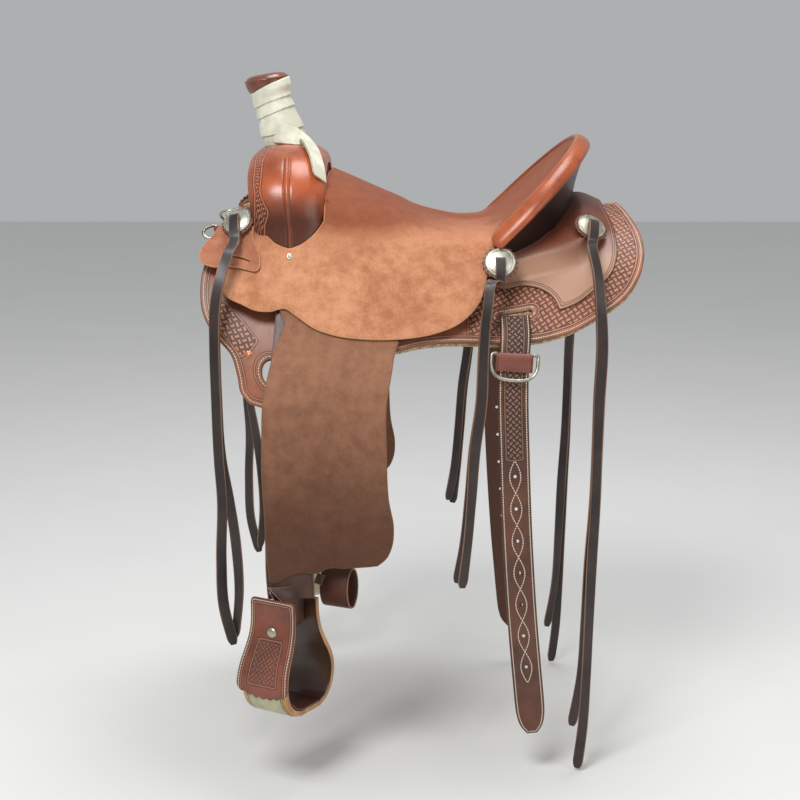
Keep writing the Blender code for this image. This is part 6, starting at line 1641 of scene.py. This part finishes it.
def cantle():
    """Roll: an oval section carried along the rim, its ends rounded off; back: lofted below it."""
    angles = np.linspace(-ROLL_REACH, ROLL_REACH, 181)
    lobes, backs, stations = [], [], []
    turn = full_turn(40) - math.pi
    for angle in angles:
        rim, outer = rim_point(angle), roll_point(angle)
        across = outer - rim
        width = np.linalg.norm(across)
        across /= width
        up = unit(np.cross(rim_point(angle + 0.01) - rim_point(angle - 0.01), across))
        up = -up if up[2] < 0 else up
        half = width / 2 + 1.2 * MM
        middle = rim + across * (width - half)
        left = min((ROLL_REACH - abs(angle)) * 0.19 / 0.01, 1)
        close = max(math.sqrt(1 - (1 - left) ** 2), 0.04)
        bulge = np.sin(turn)
        share = np.where(bulge > 0, 0.62, 0.38) * (0.35 + 0.65 * close)
        lobes.append(middle + across * (half * close * np.cos(turn))[:, None]
                     + up * (ROLL_THICKNESS * share * bulge + 0.2 * MM)[:, None])
        stations.append(middle)
    lobes = np.array(lobes)
    rows, count = lobes.shape[:2]
    stations = np.array(stations)
    for row, beyond in ((0, 3), (rows - 1, rows - 4)):
        way = unit(stations[row] - stations[beyond])
        near = smooth_step(1 - np.abs(np.arange(rows) - row) / 26)
        lobes += (near ** 2)[:, None, None] * (way * ROLL_RUN_ON + np.array([-0.002, 0, -0.001]))
        stations += (near ** 2)[:, None] * way * ROLL_RUN_ON
    run = np.repeat(run_along(stations)[:, None], count, 1)
    round_way = np.linalg.norm(np.diff(lobes, axis=1), axis=2)
    round_way = np.concatenate([np.zeros((rows, 1)), np.cumsum(round_way, 1)], 1)
    upper = np.repeat(((turn > 0.02) | (turn < -3.1))[None], rows, 0)
    whole = round_way.max(1, keepdims=True)
    edge = np.where(upper, whole - round_way, 0.02)
    edge = np.where(turn[None] < -3.1, 0.0, edge)
    flat = np.stack([round_way, run], -1).reshape(-1, 2)
    roll = piece("cantle_roll_leather", lobes.reshape(-1, 3), tube_faces(rows, count), roll_leather,
                 "cantle_roll", flat, 60, edge=edge.ravel(), run=run.ravel(), face=1.0)
    for angle in np.linspace(-ROLL_REACH, ROLL_REACH, 141):
        rim, outer, base = rim_point(angle), roll_point(angle), base_point(abs(angle), -1.0 * MM)
        base = base * [1, 1 if angle >= 0 else -1, 1]
        base = base + 0.003 * np.array([math.cos(angle), math.sin(angle), 0])
        top = rim * 0.42 + outer * 0.58 + [0, 0, -0.0125]
        sag = np.array([0.006, 0.004 * math.sin(angle), 0]) * -0.4
        end = float(smooth_step((abs(angle) - 1.15) / 0.42))
        top = top + end * np.array([-0.012, 0.004 * math.copysign(1, angle), 0.004])
        base = base + end * np.array([-0.014, 0.006 * math.copysign(1, angle), -0.012])
        backs.append([top + (base - top) * share + sag * math.sin(share * math.pi)
                      for share in np.linspace(0, 1, 24)])
    shell("cantle_back_leather", np.array(backs), (0.1, 0, 0.05), 2.0 * MM, back_leather,
          "cantle_back_cover")


# Conchos

def scallops(turn):
    """What a rosette's radii are multiplied by, all round."""
    return 1 - 0.085 * (0.5 - 0.5 * np.cos(ROSETTE_SCALLOPS * turn)) ** 0.8


def conchos():
    """Engraved domes on scalloped washers; the washer's rim is a cosine wave round it."""
    dome = smooth_run([(0, CONCHO_HEIGHT), (8 * MM, CONCHO_HEIGHT), (13 * MM, CONCHO_HEIGHT - 0.8 * MM),
                       (19 * MM, 2.6 * MM)], 0.0008)
    rim = smooth_run([(19 * MM, 2.6 * MM), (20 * MM, 2.4 * MM), (21.3 * MM, 2.3 * MM), (22 * MM, 1.2 * MM),
                      (21.6 * MM, 0.0)], 0.0005)
    r, t = ROSETTE_RADIUS, ROSETTE_LEATHER
    washer = [(0, t), (r - 7 * MM, t), (r - 3 * MM, t), (r - 0.7 * MM, t - 0.3 * MM), (r, t / 2),
              (r - 0.7 * MM, 0.3 * MM), (r - 2 * MM, 0), (0, 0)]
    for place, frame_here in concho_frames().items():
        turned(f"{place}_concho_SIDE", [*dome, *rim[1:], (0, 0)], disc_matrix(frame_here, 2 * GAP + t),
               silver, f"concho_{place}_SIDE", 80)
        turned(f"{place}_rosette_SIDE", washer, disc_matrix(frame_here, GAP), rosette_leather,
               f"rosette_{place}_SIDE", 160, wave=scallops)


# Rings and billets

def dee(name, points, wire, place, nodes):
    """A ring of wire bent to a flat outline in the plane of a matrix."""
    points = np.roll(points, 2, axis=0)
    path = smooth_run(np.concatenate([points, points[:1]]), 0.002)[:-1]
    carried(name, moved(path, place), axis_of(place, 2), round_section(wire), steel, nodes, True)


def breast_rings():
    """Each ring in a chape folded round its bar."""
    height = 2 * CHAPE_TUNNEL + 3.0 * MM
    place = breast_ring_matrix()
    reach = height / 2 - 1.2 * MM
    bend = np.linspace(-math.pi / 2, math.pi / 2, 9)
    fold = [(0.0008 + reach * math.cos(a), 0, height / 2 + reach * math.sin(a)) for a in bend]
    path = smooth_run([(-CHAPE_LENGTH, 0, 1.3 * MM), (-0.015, 0, 1.2 * MM), *fold, (-0.008, 0, 7.6 * MM),
                       (-0.018, 0, 4.6 * MM), (-CHAPE_LENGTH + 0.001, 0, 3.9 * MM)], 0.0015)
    ring = place @ Matrix.Translation((0, 0, CHAPE_TUNNEL + 1.5 * MM))
    carried("ring_chape_SIDE", moved(path, place), axis_of(place, 1), strap_section(*CHAPE_STRAP),
            keeper_leather, "breast_chape_SIDE")
    dee("collar_dee_SIDE", dee_points(0.0105, 0.0225, 0.002), RING_WIRE, ring, "breast_ring_SIDE")


def on_billet(a, b, lift):
    """Billet: a across it, b down its path."""
    path = billet_path()
    length = run_along(path)[-1]
    path = smooth_run(path, 0.004)
    run = np.linspace(0, length, len(path))
    ahead = unit(np.gradient(path, axis=0))
    across = unit(np.array([1.0, 0, 0]) - ahead[:, :1] * ahead)
    out = np.cross(across, ahead)
    out *= np.sign(out[:, 1:2])
    take = [np.stack([np.interp(b, run, table[:, k]) for k in range(3)], -1)
            for table in (path, across, out)]
    return take[0] + take[1] * a[:, None] + take[2] * np.asarray(lift)[:, None]


def billets():
    """Strap with its holes, and a keeper folded round the bar of the dee."""
    path = billet_path()
    length = float(np.linalg.norm(np.diff(path, axis=0), axis=1).sum())
    half = BILLET_WIDTH / 2
    side_run = [(half, 0), (half, length - 0.052)]
    tip = [(half, length - 0.052), (half * 0.95, length - 0.03), (half * 0.74, length - 0.012),
           (half * 0.36, length)]
    loop = outline([[(-half, 0), (half, 0)], side_run, tip, [tip[-1], (-tip[-1][0], length)],
                    [(-a, b) for a, b in tip[::-1]], [(-a, b) for a, b in side_run[::-1]]], 0.003)
    holes = [oval(0, FIRST_HOLE + HOLE_PITCH * i, HOLE_RADIUS, HOLE_RADIUS, 16)
             for i in range(HOLE_COUNT)]
    ladder = [(-0.0105, -0.05), (0.0105, -0.05), (0.0105, 0.214), (-0.0105, 0.214)]
    hem = [(a, b if b > 1e-6 else -0.05) for a, b in loop]
    leather("billet_strap_SIDE", loop, holes, lay(on_billet, -BILLET_LEATHER / 2), BILLET_LEATHER,
            0.004, billet_leather, "flank_billet_SIDE", {"ladder": within(ladder), "hem": within(hem)})
    place = keeper_matrix()
    ring = place @ Matrix.Translation((0, KEEPER_HALF - 0.0055, KEEPER_PROUD / 2))
    ring = ring @ Matrix.Rotation(math.radians(-7), 4, "X") @ Matrix.Rotation(-math.pi / 2, 4, "Z")
    bend = np.linspace(-math.pi / 2, math.pi / 2, 9)
    low, high = 1.2 * MM, KEEPER_PROUD - 1.2 * MM
    reach, middle = (high - low) / 2, (high + low) / 2
    fold = [(0, KEEPER_HALF - 0.0055 + reach * math.cos(a), middle + reach * math.sin(a))
            for a in bend]
    path = smooth_run([(0, -KEEPER_HALF, low), (0, 0, low), *fold, (0, -0.002, high - 0.9 * MM),
                       (0, -KEEPER_HALF + 0.004, low + 2.6 * MM),
                       (0, -KEEPER_HALF, low + 2.3 * MM)], 0.0015)
    carried("billet_keeper_SIDE", moved(path, place), axis_of(place, 0),
            strap_section(*KEEPER_STRAP), keeper_leather, "flank_billet_SIDE")
    dee("flank_dee_SIDE", dee_points(0.0335, 0.0355, 0, 0.006, 0.7), DEE_WIRE, ring, "flank_ring_SIDE")


# Fenders and stirrups

def fenders():
    """Fenders over the stirrup leathers, a millimetre clear of them."""
    loop = outline([FENDER_TOP, FENDER_CREST, FENDER_SHOULDER, FENDER_REAR, FENDER_FOOT,
                    FENDER_FRONT], EDGE_STEP)
    leather("fender_cover_SIDE", loop, [], lay(on_hang, STRAP_LEATHER + 1.0 * MM), FENDER_LEATHER,
            FINE_PITCH, fender_leather, "fender_SIDE")


def stirrup_straps():
    """Stirrup leathers, down outside and round the roller, with a quarter turn above it."""
    rows = np.array([[*middle, *across, width] for middle, across, width in strap_layers()])
    rows = smooth_run(rows, 0.006)
    for _ in range(3):                  # evens out the quarter turn above the roller
        even = (rows[:-2] + 2 * rows[1:-1] + rows[2:]) / 4
        rows[1:-1] += (even - rows[1:-1]) * smooth_step((rows[1:-1, 2:3] + 0.502) / 0.014)
    carried("stirrup_strap_SIDE", rows[:, :3], rows[:, 3:6], strap_section(rows[:, 6], STRAP_LEATHER),
            strap_leather, "stirrup_leather_SIDE", square=False)


def hobbles():
    """Hobble straps: a loop behind the stirrup leather, and its end in front."""
    start = np.array(HOBBLE_FRONT)
    axis = np.array([math.cos(HOBBLE_TURN), math.sin(HOBBLE_TURN), 0])
    wide = np.array([-math.sin(HOBBLE_TURN), math.cos(HOBBLE_TURN), 0])
    turn = full_turn(64)[:, None]
    a, b = HOBBLE_HALF[0] - 1.6 * MM, HOBBLE_HALF[1] - 1.6 * MM
    ring = start + axis * HOBBLE_WIDTH / 2 + wide * a * np.cos(turn)
    ring = ring + np.array([0, 0, 1]) * b * np.sin(turn)
    carried("hobble_loop_SIDE", ring, axis, strap_section(HOBBLE_WIDTH, 3.0 * MM), strap_leather,
            "hobble_strap_SIDE", closed=True)
    carried("hobble_tab_SIDE", smooth_run(HOBBLE_TAB, 0.004), (0, 0, 1),
            strap_section(0.016, 2.4 * MM), strap_leather, "hobble_strap_SIDE")


def stirrup_line(lift):
    """Profile round the tread, moved outwards."""
    outer = smooth_run(STIRRUP_SIDE, 0.004)
    whole = np.concatenate([outer * [-1, 1], outer[::-1]])
    ahead = unit(np.gradient(whole, axis=0))
    return whole + np.stack([ahead[:, 1], -ahead[:, 0]], -1) * lift


def stirrup_ring(name, low, high, inset, finish, nodes, below=0.0, corner=0.16):
    """Band bent to the stirrup's profile between two lifts: a rounded oblong carried round it.

    Its edges keep inset inside the stirrup's depth, and it has only what is below a height.
    """
    inner, outer, line = stirrup_line(low), stirrup_line(high), stirrup_line(0.0)
    keep = line[:, 1] < below
    depth = along(line[:, 1], STIRRUP_HALF_DEPTH)[keep, None] - inset
    turn = full_turn(48)[None]
    e = depth * squared(np.cos(turn), 0.07)
    share = 0.5 + 0.5 * squared(np.sin(turn), corner)
    share = np.broadcast_to(share, e.shape)
    k = inner[keep, :1] + (outer[keep, :1] - inner[keep, :1]) * share
    z = inner[keep, 1:] + (outer[keep, 1:] - inner[keep, 1:]) * share
    points = in_stirrup(k, e, z)
    rows, count = points.shape[:2]
    run = run_along(line[keep])[:, None] + 0 * e
    return piece(name, points.reshape(-1, 3), tube_faces(rows, count), finish, nodes,
                 np.stack([e, run], -1).reshape(-1, 2), 50, edge=(depth - np.abs(e)).ravel(),
                 share=share.ravel(), run=run.ravel(), face=1.0)


def stirrups():
    """Wood, binding, tread, roller and bolt, and the tooled cover with its button."""
    out = np.array([-math.sin(STIRRUP_TURN), math.cos(STIRRUP_TURN), 0])
    r, rod, half, end = ROLLER_RADIUS, BOLT_RADIUS, 0.024, 0.0335
    bolt = [(0, -end), (rod, -end), (rod, -half), (r - 0.4 * MM, -half), (r, -half + 0.5 * MM),
            (r, half - 0.5 * MM), (r - 0.4 * MM, half), (rod, half), (rod, end), (0, end)]
    profile = stirrup_line(2.1 * MM)
    profile = profile[:len(profile) // 2]
    heights, widths = profile[::-1, 1], profile[::-1, 0]
    stations = list(zip(np.append(heights, COVER_TOP + 0.02), np.append(widths, widths[-1])))
    button = in_stirrup(along(np.array(-0.528), stations), np.array(0.0), np.array(-0.528))
    button = button + out * (COVER_LEATHER + 0.4 * MM)
    across = (math.sin(STIRRUP_TURN), -math.cos(STIRRUP_TURN), 0)
    hub = axis_frame((*STIRRUP_CENTRE, BOLT_HEIGHT), across, (0, 0, 1))
    dome = smooth_run([(0, 3.4 * MM), (4 * MM, 3.0 * MM), (7.2 * MM, 1.4 * MM), (8.2 * MM, 0.2 * MM)],
                      0.0006)
    stirrup_ring("stirrup_wood_SIDE", -STIRRUP_WALL, 0, 0, stirrup_wood, "stirrup_frame_SIDE")
    stirrup_ring("stirrup_band_SIDE", 0.5 * MM, 1.5 * MM, 0.0065, binding, "stirrup_binding_SIDE")
    stirrup_ring("stirrup_tread_SIDE", -STIRRUP_WALL - 3.2 * MM, -STIRRUP_WALL - 0.2 * MM, -0.0012,
                 tread_leather, "+stirrup_frame_SIDE", -0.6325, 0.5)
    turned("stirrup_roller_SIDE", bolt, hub, steel, "stirrup_bolt_SIDE", 40)
    turned("stirrup_button_SIDE", [*dome, (0, 0)], axis_frame(button, out, (0, 0, 1)), silver,
           "+stirrup_cover_SIDE", 40)
    crown = COVER_TOP + 0.008
    top = float(along(COVER_TOP, COVER_HALF)) + 0.004
    foot = float(along(COVER_FOOT, COVER_HALF)) + 0.0055
    right = [(float(along(z, COVER_HALF)) + 0.004 + 0.0015 * float(smooth_step((-0.52 - z) / 0.06)), z)
             for z in np.linspace(crown - 0.008, COVER_FOOT + 0.004, 40)]
    u = np.linspace(-1, 1, 113)
    hem_waves = [0.0042 * abs(math.sin(3.5 * math.pi * (t + 1))) ** 0.7 for t in u]
    scalloped = [(foot * t * 0.97, COVER_FOOT - 0.0105 * (1 - t * t) - wave)
                 for t, wave in zip(u, hem_waves)]
    bend = np.radians(np.arange(8, 90, 10))
    crest = [(top - 0.008 * (1 - math.cos(t)), crown - 0.008 * (1 - math.sin(t))) for t in bend]
    level = [(a, crown) for a in np.linspace(top - 0.009, -top + 0.009, 20)]
    loop = np.array([(-a, z) for a, z in right] + scalloped + right[::-1] + crest + level
                    + [(-a, z) for a, z in crest[::-1]])
    hem = within([(a, z if z > COVER_FOOT + 0.012 else z - 0.05) for a, z in loop])
    surface = raised(lambda e, z: in_stirrup(along(z, stations), e, z), out)
    panel = within([(-0.0185, -0.541), (0.0185, -0.541), (0.0225, -0.598), (-0.0225, -0.598)])
    leather("stirrup_cover_leather_SIDE", loop, [], surface, COVER_LEATHER, 0.003, cover_leather,
            "stirrup_cover_SIDE", {"stamped": panel, "hem": hem})


# Screws and rivets

def fasteners():
    """Domed heads on the leather: a copper rivet on each skirt, a ringed screw on each seat ear."""
    for name, place, spot, radius, finish, node in (
            ("skirt_rivet", on_back, (-0.2185, 0.3264), 5.0 * MM, copper, "+skirt_SIDE"),
            ("seat_screw", on_flap, (-0.1594, 0.0865), 4.8 * MM, steel, "+seat")):
        point, normal, down = frame_on(lambda a, b: place(a, b, 0.0), *spot)
        head = smooth_run([(0, 2.2 * MM), (radius * 0.35, 2.0 * MM), (radius * 0.62, 1.2 * MM)], 0.0004)
        profile = [*head, (radius * 0.66, 0.8 * MM), (radius * 0.74, 1.2 * MM), (radius * 0.9, 1.1 * MM),
                   (radius, 0.2 * MM), (radius, -0.5 * MM), (0, -0.5 * MM)]
        turned(f"{name}_SIDE", profile, axis_frame(point, normal, -down), finish, node, 32)


for make in (fleece, plates, skirts, rear_jockeys, front_jockeys, seat, fork_cover, horn, cantle,
             conchos, breast_rings, billets, fenders, stirrup_straps, hobbles, stirrups, fasteners):
    make()

for node in ("tree_bar_left", "tree_bar_right", "tree_fork", "tree_cantle"):
    slots = frame["nodes"][node].data.materials
    slots.clear()
    slots.append(rawhide)


# Floor and light

def studio():
    """A pale floor below the lowest point, an even sky and three soft lamps."""
    scene = bpy.context.scene
    scene.view_settings.view_transform = "Standard"
    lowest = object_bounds()[0].z
    mesh = bpy.data.meshes.new("floor")
    mesh.from_pydata([(x, y, lowest - FLOOR_DROP) for x, y in FLOOR_CORNERS], [], [(0, 1, 2, 3)])
    floor = bpy.data.objects.new("floor", mesh)
    scene.collection.objects.link(floor)
    pale = Finish("floor")
    mesh.materials.append(pale.done(pale.mix(pale.noise(3), srgb(226, 226, 224), srgb(232, 232, 230)), 0.9))
    floor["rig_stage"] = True
    world = bpy.data.worlds.new("studio")
    world.use_nodes = True
    scene.world = world
    sky = world.node_tree.nodes["Background"]
    sky.inputs["Color"].default_value = (*srgb(236, 238, 240), 1)
    sky.inputs["Strength"].default_value = SKY_STRENGTH
    for name, place, power, size in LAMPS:
        lamp = bpy.data.objects.new(name, bpy.data.lights.new(name, "AREA"))
        lamp.data.energy = power
        lamp.data.size = size
        lamp.location = place
        lamp.rotation_euler = (Vector((0, 0, -0.2)) - Vector(place)).to_track_quat("-Z", "Y").to_euler()
        scene.collection.objects.link(lamp)


studio()
